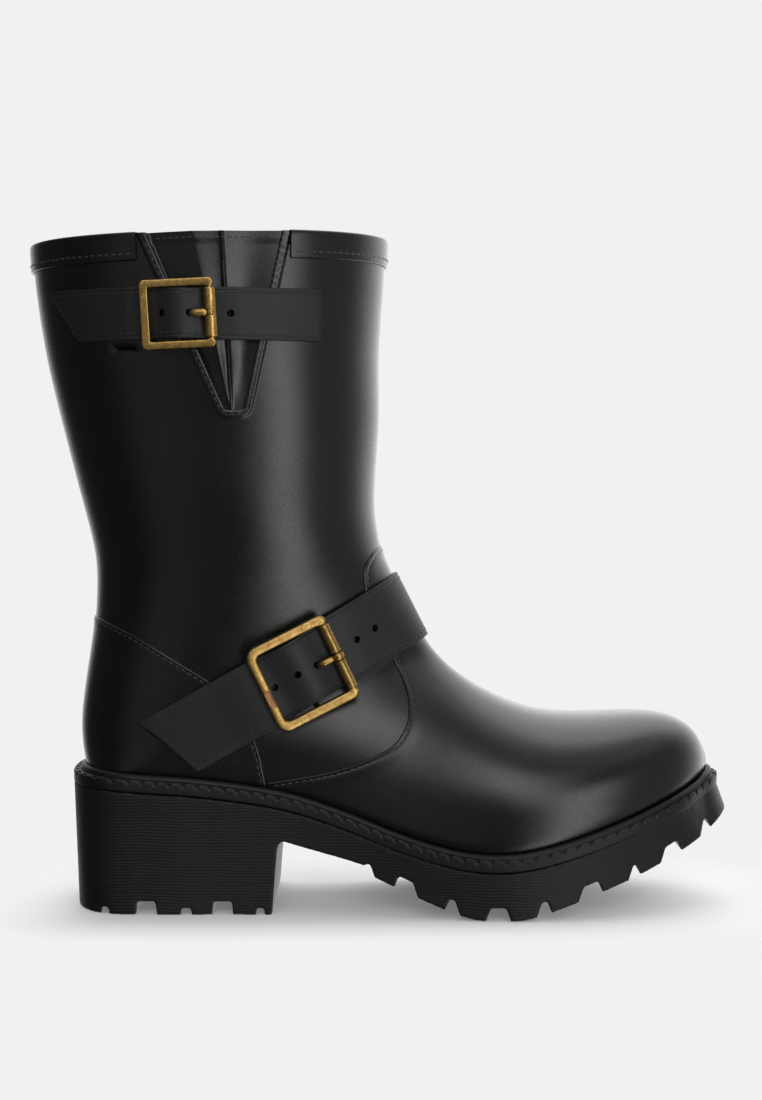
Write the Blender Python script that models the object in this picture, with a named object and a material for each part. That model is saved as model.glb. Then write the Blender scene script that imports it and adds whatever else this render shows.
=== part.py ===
"""Rubber rain boot, right foot, engineer pattern: moulded rubber upper in three panels, pleated calf gusset,
two buckled straps, welted lug sole with a block heel.

Frame: +X to the toe, +Y to the inner (medial) side, +Z up. The origin is on the floor, in the middle of the heel's tread.
Sizes below are in millimetres and are turned into metres when a mesh is made.
"""

import math

import bmesh
import bpy
import numpy as np
from mathutils import Matrix, Vector
from mathutils.bvhtree import BVHTree

MM = 0.001

# ---------------------------------------------------------------- driving dimensions (mm)
RUBBER = 2.4            # wall of the rubber upper
GAP = 0.3               # clearance left between touching pieces
LINING = 1.0            # textile lining
LINING_ROOM = 1.5       # between the rubber and the lining
FOOTBED = 4.0           # removable-looking foam footbed
BAND_HEIGHT = 11.0      # rim facing
BAND_THICK = 1.2
WELT_OUT = 6.6          # how far the welt stands out of the upper
WELT_DEEP = 4.8         # welt thickness below its top face
SOLE_DROP = 5.2         # outsole top below the welt's top face
LUG_DEEP = 5.4          # tread depth
CALF_STRAP_Z = 243.3    # middle height of the calf strap
CALF_STRAP_WIDE = 20.6
CALF_STRAP_THICK = 2.2
ANKLE_STRAP_WIDE = 29.4
ANKLE_STRAP_THICK = 2.6
ANKLE_STRAP_MID = (45.0, 94.2)      # a point (x, z) on the ankle strap's middle line
ANKLE_STRAP_SLOPE = math.radians(29.5)
HOLE_D = 3.0
STATIONS = 28           # rings along the upper
AROUND = 28             # points round each ring

# The last: one row per station from the rim down the leg, round the heel and out to the toe.
# back/bottom x, z | front/top x, z | half-width outer side, inner side | centre shift | place of the widest point | roundness low end, high end
LAST = [
    (-58.4, 274.0, 89.0, 277.2, 54.5, 54.5, 0.0, 0.50, 2.15, 2.15),
    (-57.2, 257.0, 88.2, 257.5, 53.6, 53.6, 0.0, 0.50, 2.15, 2.15),
    (-53.2, 230.0, 86.4, 230.0, 51.8, 51.8, 0.0, 0.50, 2.15, 2.15),
    (-47.9, 206.0, 86.4, 206.0, 49.4, 49.4, 0.0, 0.50, 2.15, 2.12),
    (-41.9, 182.0, 85.0, 182.0, 46.8, 46.8, 0.0, 0.50, 2.15, 2.10),
    (-36.5, 161.0, 84.7, 163.0, 44.2, 44.2, 0.0, 0.49, 2.15, 2.08),
    (-33.2, 145.0, 87.2, 148.5, 41.8, 41.8, 0.0, 0.48, 2.15, 2.05),
    (-32.8, 131.0, 89.6, 142.0, 40.0, 40.0, 0.0, 0.46, 2.15, 2.02),
    (-33.6, 118.0, 92.2, 136.0, 38.6, 38.6, 0.0, 0.44, 2.20, 2.00),
    (-35.6, 104.0, 95.0, 130.0, 37.4, 37.4, 0.0, 0.42, 2.25, 2.00),
    (-37.8, 89.0, 98.0, 124.0, 36.4, 36.4, 0.0, 0.40, 2.30, 2.00),
    (-39.0, 75.0, 101.0, 118.4, 35.6, 35.6, 0.0, 0.38, 2.40, 2.00),
    (-37.8, 62.5, 103.6, 113.8, 35.0, 34.6, 0.0, 0.36, 2.60, 2.00),
    (-34.0, 54.6, 105.6, 110.4, 34.4, 33.8, 0.0, 0.34, 3.40, 2.00),
    (-22.0, 52.4, 107.6, 107.4, 33.8, 32.8, 0.0, 0.32, 4.60, 2.00),
    (4.0, 51.0, 109.8, 104.6, 33.4, 31.6, 0.0, 0.30, 5.00, 2.02),
    (34.0, 47.6, 112.4, 101.8, 33.2, 30.4, -0.3, 0.30, 5.00, 2.04),
    (62.0, 40.4, 115.4, 99.0, 34.4, 30.6, -0.6, 0.30, 5.00, 2.06),
    (84.0, 32.8, 119.2, 96.0, 37.4, 33.0, -0.6, 0.30, 5.00, 2.08),
    (103.0, 26.4, 124.6, 92.2, 41.4, 37.4, -0.3, 0.30, 5.00, 2.10),
    (120.0, 22.6, 132.4, 87.8, 44.8, 41.8, 0.0, 0.30, 5.00, 2.14),
    (136.0, 21.6, 142.6, 83.4, 46.8, 45.2, 0.2, 0.30, 5.00, 2.18),
    (152.0, 23.8, 154.6, 80.0, 46.8, 46.4, 0.8, 0.30, 4.80, 2.22),
    (167.0, 28.2, 167.4, 78.7, 44.8, 45.2, 1.4, 0.30, 4.60, 2.26),
    (182.0, 33.2, 180.6, 78.6, 41.0, 41.6, 2.0, 0.31, 4.20, 2.30),
    (196.0, 38.4, 193.6, 78.9, 35.4, 35.8, 2.6, 0.32, 3.80, 2.34),
    (208.0, 43.6, 205.2, 78.2, 28.4, 28.6, 3.1, 0.34, 3.40, 2.36),
    (216.5, 48.4, 214.2, 75.2, 20.6, 20.8, 3.5, 0.36, 3.00, 2.36),
    (221.8, 51.4, 220.4, 70.2, 12.8, 13.0, 3.8, 0.38, 2.60, 2.30),
    (224.8, 54.6, 224.2, 63.4, 5.0, 5.0, 4.0, 0.42, 2.30, 2.20),
]

# Height of the welt's top face, where the upper meets it, along X.
WELT_TOP = [(-60, 57.6), (-38, 57.0), (-5, 54.8), (12, 53.6), (39, 50.0), (54, 46.6), (74, 40.0), (95, 32.2), (115, 26.6),
            (129, 24.8), (142, 25.2), (153, 27.2), (166, 30.8), (186, 37.4), (203, 43.8), (218, 50.4), (228, 56.2), (240, 62.0)]
# Tread (ground side) of the forefoot, along X: a rocker that touches the floor at the ball.
TREAD = [(78, 20.0), (86, 15.4), (97, 10.6), (108, 6.0), (118, 2.2), (128, 0.0), (142, 0.0), (152, 2.2), (164, 6.2), (180, 12.0),
         (196, 18.0), (212, 25.4), (224, 31.6), (232, 37.0), (244, 46.0)]
LUGS = [(84.5, 92.5), (102.0, 113.0), (119.0, 129.5), (139.5, 150.0), (156.0, 167.0), (177.0, 188.0), (193.0, 202.0), (211.0, 220.0), (225.0, 250.0)]
HEEL_GROOVES = [(-12.6, -5.2), (18.6, 26.0)]        # full-width grooves of the heel's tread
HEEL_NICKS = [(-27.5, -24.5), (5.4, 9.4), (36.2, 39.4)]  # short grooves at the edge only
BREAST = 44.0           # front face of the heel block
WAIST = [(48.0, 29.6), (60.0, 26.6), (72.0, 23.4), (80.0, 21.0)]

# Seams of the upper, in side view (x, z)
COUNTER_SEAM = [(-45.0, 121.4), (-32.8, 120.6), (-26.0, 119.2), (-13.6, 114.4), (-2.2, 108.2), (8.7, 101.6), (17.2, 96.2), (26.6, 87.4),
                (33.4, 77.6), (37.4, 66.6), (39.0, 59.0), (40.0, 53.6), (40.2, 40.0)]
VAMP_SEAM = [(100.0, 153.6), (87.2, 149.8), (83.0, 146.4), (80.4, 142.0), (79.9, 136.4), (81.6, 126.0), (86.4, 114.6), (91.8, 103.6), (95.8, 95.4),
             (98.3, 86.6), (97.6, 78.2), (92.8, 70.4), (84.6, 65.4), (73.0, 60.9), (61.4, 57.9), (50.8, 56.0), (40.2, 54.2), (40.2, 40.0)]
GUSSET = {"left": (-6.4, 24.0), "right": (48.4, 33.2), "foot": 205.6}    # x at the rim, x at the foot of the V, height of the foot
GUSSET_RIDGES = ((12.9, 27.4), (24.4, 28.0))                          # x at the rim, x at the foot


def smooth(rows, u):
    """A smooth curve through the rows, u counted in rows."""
    rows = np.asarray(rows, float)
    n = len(rows) - 1
    u = min(max(u, 0.0), float(n))
    i = min(int(u), n - 1)
    f = u - i
    p1, p2 = rows[i], rows[i + 1]
    p0 = rows[i - 1] if i > 0 else 2 * p1 - p2
    p3 = rows[i + 2] if i + 2 <= n else 2 * p2 - p1
    return 0.5 * (2 * p1 + (p2 - p0) * f + (2 * p0 - 5 * p1 + 4 * p2 - p3) * f * f + (3 * p1 - p0 - 3 * p2 + p3) * f**3)


def along(table, x):
    """Height of a table of (x, z) points at x, eased between the points."""
    xs = [p[0] for p in table]
    zs = [p[1] for p in table]
    n = len(xs)
    if x <= xs[0]:
        return zs[0] + (x - xs[0]) * (zs[1] - zs[0]) / (xs[1] - xs[0])
    if x >= xs[-1]:
        return zs[-1] + (x - xs[-1]) * (zs[-1] - zs[-2]) / (xs[-1] - xs[-2])
    i = max(k for k in range(n - 1) if xs[k] <= x)
    h = xs[i + 1] - xs[i]

    def slope(k):
        a, b = max(k - 1, 0), min(k + 1, n - 1)
        return (zs[b] - zs[a]) / (xs[b] - xs[a])

    t = (x - xs[i]) / h
    return (zs[i] * (1 + 2 * t) * (1 - t) ** 2 + slope(i) * h * t * (1 - t) ** 2
            + zs[i + 1] * t * t * (3 - 2 * t) + slope(i + 1) * h * t * t * (t - 1))


def welt_top(x):
    return along(WELT_TOP, x)


def tread(x):
    return max(along(TREAD, x), 0.0)


def ring(u, count):
    """One closed ring of the upper's outer surface: from the back/bottom, up the outer side, and down the inner side."""
    bx, bz, fx, fz, wl, wm, yc, tm, n1, n2 = smooth(LAST, u)
    if u > 14 and bx < 214:
        bz = welt_top(bx) - 3.0
    half = count // 2
    points = []
    for side, w in ((-1, wl), (1, wm)):
        fine = []
        for k in range(181):
            a = math.pi * k / 180
            s, c = math.sin(a), abs(math.cos(a))
            if k <= 90:
                fine.append((tm * (1 - c ** (2 / n1)), w * s ** (2 / n1)))
            else:
                fine.append((tm + (1 - tm) * c ** (2 / n2), w * s ** (2 / n2)))
        span = math.hypot(fx - bx, fz - bz)
        d = [0.0]
        for p, q in zip(fine, fine[1:]):
            d.append(d[-1] + math.hypot((q[0] - p[0]) * span, q[1] - p[1]))
        at = [np.interp(d[-1] * k / half, d, range(181)) for k in range(half + 1)]
        line = [(np.interp(v, range(181), [p[0] for p in fine]), np.interp(v, range(181), [p[1] for p in fine])) for v in at]
        if side > 0:
            line = line[::-1]
        points += [(bx + t * (fx - bx), yc + side * y, bz + t * (fz - bz)) for t, y in line[:-1]]
    return points


def upper_grid(stations, count):
    """Rings of the outer surface, closer together where the shape turns."""
    last = len(LAST) - 1
    # more rings round the heel and at the toe, where the stations are short
    us = [last * k / (stations - 1) for k in range(stations)]
    return np.array([ring(u, count) for u in us])


def offset_grid(grid, distance):
    """The grid moved along its outward normal."""
    along_u = np.gradient(grid, axis=0)
    along_v = (np.roll(grid, -1, axis=1) - np.roll(grid, 1, axis=1)) / 2
    normal = np.cross(along_u, along_v)
    centre = grid.mean(axis=1, keepdims=True)
    normal /= np.linalg.norm(normal, axis=2, keepdims=True) + 1e-12
    if ((grid - centre) * normal).sum() < 0:
        normal = -normal
    return grid + normal * distance


# ---------------------------------------------------------------- mesh helpers
def material(name, colour, rough, metal=0.0):
    m = bpy.data.materials.get(name)
    if m is None:
        m = bpy.data.materials.new(name)
        m.use_nodes = True
        s = m.node_tree.nodes["Principled BSDF"]
        s.inputs["Base Color"].default_value = (*colour, 1)
        s.inputs["Roughness"].default_value = rough
        s.inputs["Metallic"].default_value = metal
        m.diffuse_color = (*colour, 1)
    return m


def solid(name, points, faces, mat=None, origin=(0, 0, 0), hidden=False, angle=35):
    """An object from points in millimetres, with its faces turned outwards."""
    mesh = bpy.data.meshes.new(name)
    o = Vector(origin)
    bm = bmesh.new()
    vs = [bm.verts.new(((p[0] - o.x) * MM, (p[1] - o.y) * MM, (p[2] - o.z) * MM)) for p in points]
    for f in faces:
        bm.faces.new([vs[i] for i in f])
    bmesh.ops.remove_doubles(bm, verts=bm.verts, dist=1e-6)
    bmesh.ops.recalc_face_normals(bm, faces=bm.faces)
    if bm.calc_volume(signed=True) < 0:
        bmesh.ops.reverse_faces(bm, faces=bm.faces)
    bm.to_mesh(mesh)
    bm.free()
    ob = bpy.data.objects.new(name, mesh)
    ob.location = o * MM
    bpy.context.scene.collection.objects.link(ob)
    if hidden:
        ob.hide_render = True
        ob.display_type = "WIRE"
    else:
        ob.data.materials.append(mat)
        ob.data.shade_smooth()
        ob.data.set_sharp_from_angle(angle=math.radians(angle))
    return ob


def shell(outer, inner):
    """Points and faces of a sock: two grids of rings, joined at the first ring and each closed at the last."""
    n, m = outer.shape[:2]
    points = [tuple(p) for p in outer.reshape(-1, 3)] + [tuple(p) for p in inner.reshape(-1, 3)]
    faces = []
    for g in (0, n * m):
        for i in range(n - 1):
            for j in range(m):
                k = (j + 1) % m
                faces.append((g + i * m + j, g + i * m + k, g + (i + 1) * m + k, g + (i + 1) * m + j))
        faces.append(tuple(g + (n - 1) * m + j for j in range(m)))
    for j in range(m):
        k = (j + 1) % m
        faces.append((j, k, n * m + k, n * m + j))
    return points, faces


def tube(rings, closed=False):
    """Points and faces of a solid swept through rings of the same number of points."""
    m = len(rings[0])
    points = [tuple(p) for r in rings for p in r]
    n = len(rings)
    faces = []
    for i in range(n if closed else n - 1):
        a, b = i * m, ((i + 1) % n) * m
        for j in range(m):
            k = (j + 1) % m
            faces.append((a + j, a + k, b + k, b + j))
    if not closed:
        faces.append(tuple(range(m)))
        faces.append(tuple((n - 1) * m + j for j in range(m)))
    return points, faces


def prism_y(name, outline, y0, y1):
    """A cutter: a side-view outline (x, z) pulled out from y0 to y1."""
    n = len(outline)
    points = [(x, y0, z) for x, z in outline] + [(x, y1, z) for x, z in outline]
    faces = [tuple(range(n)), tuple(range(n, 2 * n))] + [(i, (i + 1) % n, n + (i + 1) % n, n + i) for i in range(n)]
    return solid(name, points, faces, hidden=True)


def box(name, low, high, hidden=True, mat=None):
    x0, y0, z0 = low
    x1, y1, z1 = high
    return tube_solid(name, [[(x0, y0, z0), (x1, y0, z0), (x1, y1, z0), (x0, y1, z0)], [(x0, y0, z1), (x1, y0, z1), (x1, y1, z1), (x0, y1, z1)]], hidden, mat)


def tube_solid(name, rings, hidden=False, mat=None, origin=(0, 0, 0), closed=False, angle=35):
    points, faces = tube(rings, closed)
    return solid(name, points, faces, mat, origin, hidden, angle)


def boolean(ob, other, operation):
    m = ob.modifiers.new(operation.title() + "_" + other.name, "BOOLEAN")
    m.operation = operation
    m.object = other
    m.solver = "EXACT"
    return ob


def offset_line(line, d):
    """A side-view line moved sideways by d."""
    out = []
    for i, p in enumerate(line):
        a, b = line[max(i - 1, 0)], line[min(i + 1, len(line) - 1)]
        tx, tz = b[0] - a[0], b[1] - a[1]
        n = math.hypot(tx, tz)
        out.append((p[0] - tz / n * d, p[1] + tx / n * d))
    return out


# ---------------------------------------------------------------- start
for old in list(bpy.data.objects):
    bpy.data.objects.remove(old, do_unlink=True)

BLACK = material("black_rubber", (0.018, 0.018, 0.020), 0.42)
SOLE = material("sole_rubber", (0.016, 0.016, 0.016), 0.62)
STRAP = material("strap_rubber", (0.022, 0.022, 0.024), 0.5)
BRASS = material("antique_brass", (0.62, 0.43, 0.14), 0.35, 1.0)
COPPER = material("copper_inlay", (0.33, 0.18, 0.09), 0.45, 1.0)
TEXTILE = material("textile_lining", (0.035, 0.035, 0.038), 0.95)
FOAM = material("footbed_foam", (0.05, 0.05, 0.055), 0.9)
STEEL = material("shank_steel", (0.55, 0.56, 0.58), 0.35, 1.0)
BOARD = material("insole_board", (0.42, 0.34, 0.24), 0.85)
CORE = material("heel_core", (0.10, 0.10, 0.11), 0.8)

OUTER = upper_grid(STATIONS, AROUND)
BODY = BVHTree.FromPolygons([Vector(p) for p in OUTER.reshape(-1, 3)],
                            [(i * AROUND + j, i * AROUND + (j + 1) % AROUND, (i + 1) * AROUND + (j + 1) % AROUND, (i + 1) * AROUND + j)
                             for i in range(STATIONS - 1) for j in range(AROUND)] + [tuple((STATIONS - 1) * AROUND + j for j in range(AROUND))])


def cast(origin, direction):
    """Where a line from inside the boot meets its outer surface, and the outward normal there."""
    d = Vector(direction).normalized()
    hit, normal, _, _ = BODY.ray_cast(Vector(origin), d)
    if hit is None:
        return None
    return hit, (normal if normal.dot(d) > 0 else -normal)


# ---------------------------------------------------------------- upper: shaft, vamp, heel counter
INNER = offset_grid(OUTER, -RUBBER)
shaft = solid("shaft", *shell(OUTER, INNER), mat=BLACK)
vamp = solid("vamp", *shell(OUTER, INNER), mat=BLACK)
counter = solid("heel_counter", *shell(OUTER, INNER), mat=BLACK)


def counter_outline(d):
    return offset_line(COUNTER_SEAM, d) + [(40.2 + d * 0, 0.0), (-90.0, 0.0), (-90.0, 121.4 + d)]


def vamp_outline(d):
    return offset_line(VAMP_SEAM, d) + [(40.2 - d, 0.0), (260.0, 0.0), (260.0, 153.6 + d)]


h = GAP / 2
counter_cut = prism_y("counter_cut", counter_outline(-h)[:-3] + [(40.2 - h, 0.0), (-90.0, 0.0), (-90.0, 121.4 - h)], -90, 90)
counter_room = prism_y("counter_room", counter_outline(h)[:-3] + [(40.2 + h, 0.0), (-91.0, 0.0), (-91.0, 121.4 + h)], -91, 91)
vamp_cut = prism_y("vamp_cut", offset_line(VAMP_SEAM, h)[:-1] + [(40.2 + h, 40.0), (40.2 + h, 0.0), (260.0, 0.0), (260.0, 153.6)], -90, 90)
vamp_room = prism_y("vamp_room", offset_line(VAMP_SEAM, -h)[:-1] + [(40.2 - h, 40.0), (40.2 - h, 0.0), (261.0, 0.0), (261.0, 153.6)], -91, 91)

(g0, g1), (g2, g3), gz = GUSSET["left"], GUSSET["right"], GUSSET["foot"]


def gusset_outline(d):
    """The V in side view, grown by d."""
    top = 290.0
    rise = (top - gz) / (276.0 - gz)
    return [(g0 + (g0 - g1) * (rise - 1) - d, top), (g1 - d, gz - d), (g3 + d, gz - d), (g2 + (g2 - g3) * (rise - 1) + d, top)]


gusset_room = prism_y("gusset_room", gusset_outline(0.0), -90, -20)

boolean(counter, counter_cut, "INTERSECT")
boolean(vamp, vamp_cut, "INTERSECT")
boolean(shaft, counter_room, "DIFFERENCE")
boolean(shaft, vamp_room, "DIFFERENCE")
boolean(shaft, gusset_room, "DIFFERENCE")


# ---------------------------------------------------------------- calf gusset: a pleated V
def gusset_sheet():
    """Rows up the V; each row runs from the left seam over the two ridges to the right seam."""
    rows_out, rows_in = [], []
    levels = 7
    for k in range(levels):
        f = k / (levels - 1)
        z = gz + 0.5 + f * (274.6 - gz - 0.5)
        t = (z - gz) / (276.0 - gz)
        xl, xr = g1 + (g0 - g1) * t + GAP, g3 + (g2 - g3) * t - GAP
        r1 = GUSSET_RIDGES[0][1] + (GUSSET_RIDGES[0][0] - GUSSET_RIDGES[0][1]) * t
        r2 = GUSSET_RIDGES[1][1] + (GUSSET_RIDGES[1][0] - GUSSET_RIDGES[1][1]) * t
        fade = min(1.0, 0.15 + t * 1.3)
        profile = [(xl, -0.8), ((xl + r1) / 2, -0.4 + 0.2 * fade), (r1, 1.0 * fade - 0.2), ((r1 + r2) / 2, -0.2), (r2, -0.6), ((r2 + xr) / 2, -0.9), (xr, -0.8)]
        out_row, in_row = [], []
        for x, height in profile:
            hit, n = cast((x, 0.0, z), (0, -1, 0))
            n = Vector((n.x, n.y, 0)).normalized()
            out_row.append(tuple(hit + n * height))
            in_row.append(tuple(hit + n * (height - 1.2)))
        rows_out.append(out_row)
        rows_in.append(in_row)
    rings = [o + i[::-1] for o, i in zip(rows_out, rows_in)]
    return rings


tube_solid("gusset", gusset_sheet(), mat=BLACK, angle=20)


# ---------------------------------------------------------------- rim band, open at the gusset
def band():
    rings = []
    first, last_angle = None, None
    centre = (15.3, 0.0)
    steps = 40
    a0 = math.atan2(-52.0, g2 + 1.0 - centre[0])     # right of the gusset
    a1 = math.atan2(-52.0, g0 - 1.0 - centre[0]) + 2 * math.pi   # left of the gusset, the long way round
    for k in range(steps + 1):
        a = a0 + (a1 - a0) * k / steps
        d = (math.cos(a), math.sin(a), 0)
        ring_points = []
        x_est = centre[0] + math.cos(a) * 70
        rim = 274.0 + (x_est + 58.4) / 147.4 * 3.2
        low, high = rim - BAND_HEIGHT, rim + 0.2
        for z, off in ((low, 0.8), (low, 0.8 + BAND_THICK), (high, 0.8 + BAND_THICK), (high, 0.8)):
            hit, n = cast((centre[0], 0, min(z, rim - 1.2)), d)
            n = Vector((n.x, n.y, 0)).normalized()
            p = hit + n * off
            ring_points.append((p.x, p.y, z))
        rings.append(ring_points)
    return rings


tube_solid("top_band", band(), mat=BLACK)

# ---------------------------------------------------------------- lining and footbed
LINE_STATIONS, LINE_AROUND = 25, 22
COARSE = upper_grid(LINE_STATIONS, LINE_AROUND)
LINE_OUT = offset_grid(COARSE, -(RUBBER + LINING_ROOM))
LINE_IN = offset_grid(COARSE, -(RUBBER + LINING_ROOM + LINING))
LINE_OUT[0, :, 2] -= 0.8
LINE_IN[0, :, 2] -= 0.8
solid("lining", *shell(LINE_OUT, LINE_IN), mat=TEXTILE)
CAVITY = BVHTree.FromPolygons([Vector(p) for p in LINE_IN.reshape(-1, 3)],
                              [(i * LINE_AROUND + j, i * LINE_AROUND + (j + 1) % LINE_AROUND, (i + 1) * LINE_AROUND + (j + 1) % LINE_AROUND, (i + 1) * LINE_AROUND + j)
                               for i in range(LINE_STATIONS - 1) for j in range(LINE_AROUND)] + [tuple((LINE_STATIONS - 1) * LINE_AROUND + j for j in range(LINE_AROUND))])


def outline(tree, height, count_side=22, x0=-2.0, x1=178.0):
    """Points round the foot in plan, where lines going out at height(x) meet the surface."""
    rays = []
    for k in range(count_side):
        rays.append((x0 + (x1 - x0) * k / (count_side - 1), -math.pi / 2))
    for k in range(1, 12):
        rays.append((x1, -math.pi / 2 + math.pi * k / 12))
    for k in range(count_side):
        rays.append((x1 + (x0 - x1) * k / (count_side - 1), math.pi / 2))
    for k in range(1, 12):
        rays.append((x0, math.pi / 2 + math.pi * k / 12))
    out = []
    for x, a in rays:
        d = Vector((math.cos(a), math.sin(a), 0))
        y0 = 2.0 * min(max((x - 60) / 120, 0), 1)
        px = x
        hit = None
        for _ in range(60):
            found = tree.ray_cast(Vector((x, y0, height(px))), d)
            if found[0] is None:
                break
            hit = found[0]
            if abs(hit.x - px) < 0.01:
                break
            px = hit.x
        out.append((hit.x, hit.y, d))
    return out


def plate(name, rings, mat, apex):
    """A solid through rings of the foot's outline. Its two faces are strips across the foot, so they follow its curve."""
    m = len(rings[0])
    points, faces = tube(rings, closed=False)
    faces = faces[:-2]
    for base in (0, (len(rings) - 1) * m):
        faces.append((base + apex, base + (apex + 1) % m, base + (apex - 1) % m))
        for j in range(1, m // 2 - 1):
            faces.append((base + (apex + j) % m, base + (apex + j + 1) % m, base + (apex - j - 1) % m, base + (apex - j) % m))
        j = m // 2 - 1
        faces.append((base + (apex + j) % m, base + (apex + j + 1) % m, base + (apex - j) % m))
    return solid(name, points, faces, mat)


def plan_normals(pts):
    n = len(pts)
    res = []
    for i in range(n):
        a, b = pts[i - 1], pts[(i + 1) % n]
        t = Vector((b[0] - a[0], b[1] - a[1]))
        res.append(Vector((t.y, -t.x)).normalized())
    return res


def floor_z(x):
    """Top of the lining's floor."""
    return welt_top(x) - 3.0 + RUBBER + LINING_ROOM + LINING


bed_low = outline(CAVITY, lambda x: floor_z(x) + 2.2, 16, 4.0, 172.0)
rings = []
for inset, lift in ((6.8, 1.4), (4.0, 3.0), (3.4, 1.4 + FOOTBED)):
    nn = plan_normals(bed_low)
    rings.append([(p[0] - n.x * inset, p[1] - n.y * inset, floor_z(p[0] - n.x * inset) + lift) for p, n in zip(bed_low, nn)])
plate("footbed", rings, FOAM, 16 + 5)

# ---------------------------------------------------------------- welt
foot = outline(BODY, lambda x: welt_top(x) - 0.4, 20)
foot_n = plan_normals(foot)
PROFILE = [(1.6, 1.9), (2.7, 1.3), (3.2, 0.1), (5.6, -0.1), (WELT_OUT, -1.1), (WELT_OUT, -WELT_DEEP)]


def at(p, n, d, z_shift):
    x, y = p[0] + n.x * d, p[1] + n.y * d
    return (x, y, welt_top(x) + z_shift)


def skin(p, n, z_shift):
    """How far the upper stands out past the outline at this height over the welt."""
    d = 0.0
    for _ in range(3):
        found = BODY.ray_cast(Vector((p[0] - n.x * 9, p[1] - n.y * 9, welt_top(p[0] + n.x * d) + z_shift)), Vector((n.x, n.y, 0)))
        if found[0] is None:
            return 0.0
        d = (found[0].x - p[0]) * n.x + (found[0].y - p[1]) * n.y
    return max(d, 0.0)


rings = []
for p, n in zip(foot, foot_n):
    low, mid, top = skin(p, n, -2.0), skin(p, n, 0.0), max(skin(p, n, 1.5), skin(p, n, 2.2))
    room = 1.75 if p[0] < 205 else 1.9
    lean = max(top, mid)
    rings.append([at(p, n, max(low, mid) + room, -WELT_DEEP), at(p, n, max(low, mid) + room, -0.2), at(p, n, lean + room, 1.5)] + [at(p, n, d + (lean if d < 3.5 else lean * 0.5 if d < 6 else 0), z) for d, z in PROFILE])
tube_solid("welt", rings, mat=SOLE, closed=True)

# ---------------------------------------------------------------- outsole: plan outline crossed with the side profile


def flare(x):
    """How much the sole grows towards the ground at the toe, in mm per mm of height."""
    f = min(max((x - 196) / 36, 0), 1)
    return 0.42 * f * f * (3 - 2 * f)


def sole_ring(z):
    pts = []
    for p, n in zip(foot, foot_n):
        zt = welt_top(p[0]) - SOLE_DROP
        grow = (zt - z) * flare(p[0]) - (zt - z) * 0.035 * (1 - min(flare(p[0]) * 6, 1))
        d = WELT_OUT + grow
        pts.append((p[0] + n.x * d, p[1] + n.y * d, z))
    return pts


def side_profile():
    """The sole in side view: top under the welt, heel block with tread grooves, breast, waist and forefoot lugs."""
    top = [(x, welt_top(x) - SOLE_DROP) for x in [255] + list(range(240, -60, -4)) + [-70]]
    low = [(-70.0, 0.0)]
    for a, b in HEEL_GROOVES:
        low += [(a - 0.5, 0.0), (a, LUG_DEEP), (b, LUG_DEEP), (b + 0.5, 0.0)]
    low += [(BREAST - 1.4, 0.0), (BREAST + 0.4, 24.0), (BREAST + 1.2, 28.6), (BREAST + 3.0, 30.2)] + WAIST[1:]
    base = lambda x: tread(x) + LUG_DEEP
    for i, (a, b) in enumerate(LUGS):
        xs_a = a - 2.0
        low += [(xs_a, base(xs_a) if i else tread(xs_a) + 4.6), (a, tread(a))]
        if b - a > 8:
            low += [((a + b) / 2, tread((a + b) / 2))]
        low += [(b, tread(b))]
        if i < len(LUGS) - 1:
            low += [(b + 2.0, base(b + 2.0))]
    low[-1] = (250.0, tread(250.0))
    return low + top


outsole = tube_solid("outsole", [sole_ring(-6.0), sole_ring(80.0)], mat=SOLE)
profile_cut = prism_y("sole_profile", side_profile(), -90, 90)
boolean(outsole, profile_cut, "INTERSECT")

nicks = []
for k, (a, b) in enumerate(HEEL_NICKS):
    for side in (-1, 1):
        nicks.append(box(f"heel_nick_{k}_{'o' if side < 0 else 'i'}", (a, min(side * 20.0, side * 60.0), -8.0), (b, max(side * 20.0, side * 60.0), 2.6)))
for cutter in nicks:
    boolean(outsole, cutter, "DIFFERENCE")


def channel(name, side):
    """A lengthways channel of the forefoot tread, between the edge lugs and the middle lugs."""
    rings = []
    for k in range(14):
        x = 96.0 + 108.0 * k / 13
        half = 47.0 if x < 150 else 47.0 - (x - 150) ** 2 / 160.0
        wide = 20.0 - 5.0 * max(0, (x - 150) / 54)
        y = side * (half - wide) + (2.0 if x > 150 else 0.0) + (1.6 if k % 2 else -1.6)
        t = tread(x)
        rings.append([(x, y - 1.9, t - 12.0), (x, y + 1.9, t - 12.0), (x, y + 1.6, t + 4.4), (x, y - 1.6, t + 4.4)])
    return tube_solid(name, rings, hidden=True)


boolean(outsole, channel("channel_outer", -1), "DIFFERENCE")
boolean(outsole, channel("channel_inner", 1), "DIFFERENCE")


def heel_plan(inset, z):
    pts = []
    for k in range(13):
        a = math.pi / 2 + math.pi * k / 12
        r = 33.0 - inset
        pts.append((-4.0 + r * 1.05 * math.cos(a), r * math.sin(a), z))
    pts += [(28.0 - inset * 0 - (0 if inset < 12 else inset - 12), -(33.0 - inset), z), (28.0 - (0 if inset < 12 else inset - 12), (33.0 - inset), z)]
    return pts


heel_room = tube_solid("heel_room", [heel_plan(12.0, 14.0), heel_plan(12.0, 80.0)], hidden=True)
boolean(outsole, heel_room, "DIFFERENCE")
tube_solid("heel_core", [heel_plan(12.0 + GAP, 14.0 + GAP), heel_plan(12.0 + GAP, 45.4)], mat=CORE)


def shank_rings(half, z_low, z_high, x0, x1, n=9):
    rings = []
    for k in range(n):
        x = x0 + (x1 - x0) * k / (n - 1)
        t = welt_top(x) - SOLE_DROP
        rings.append([(x, -half, t + z_low), (x, half, t + z_low), (x, half, t + z_high), (x, -half, t + z_high)])
    return rings


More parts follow.
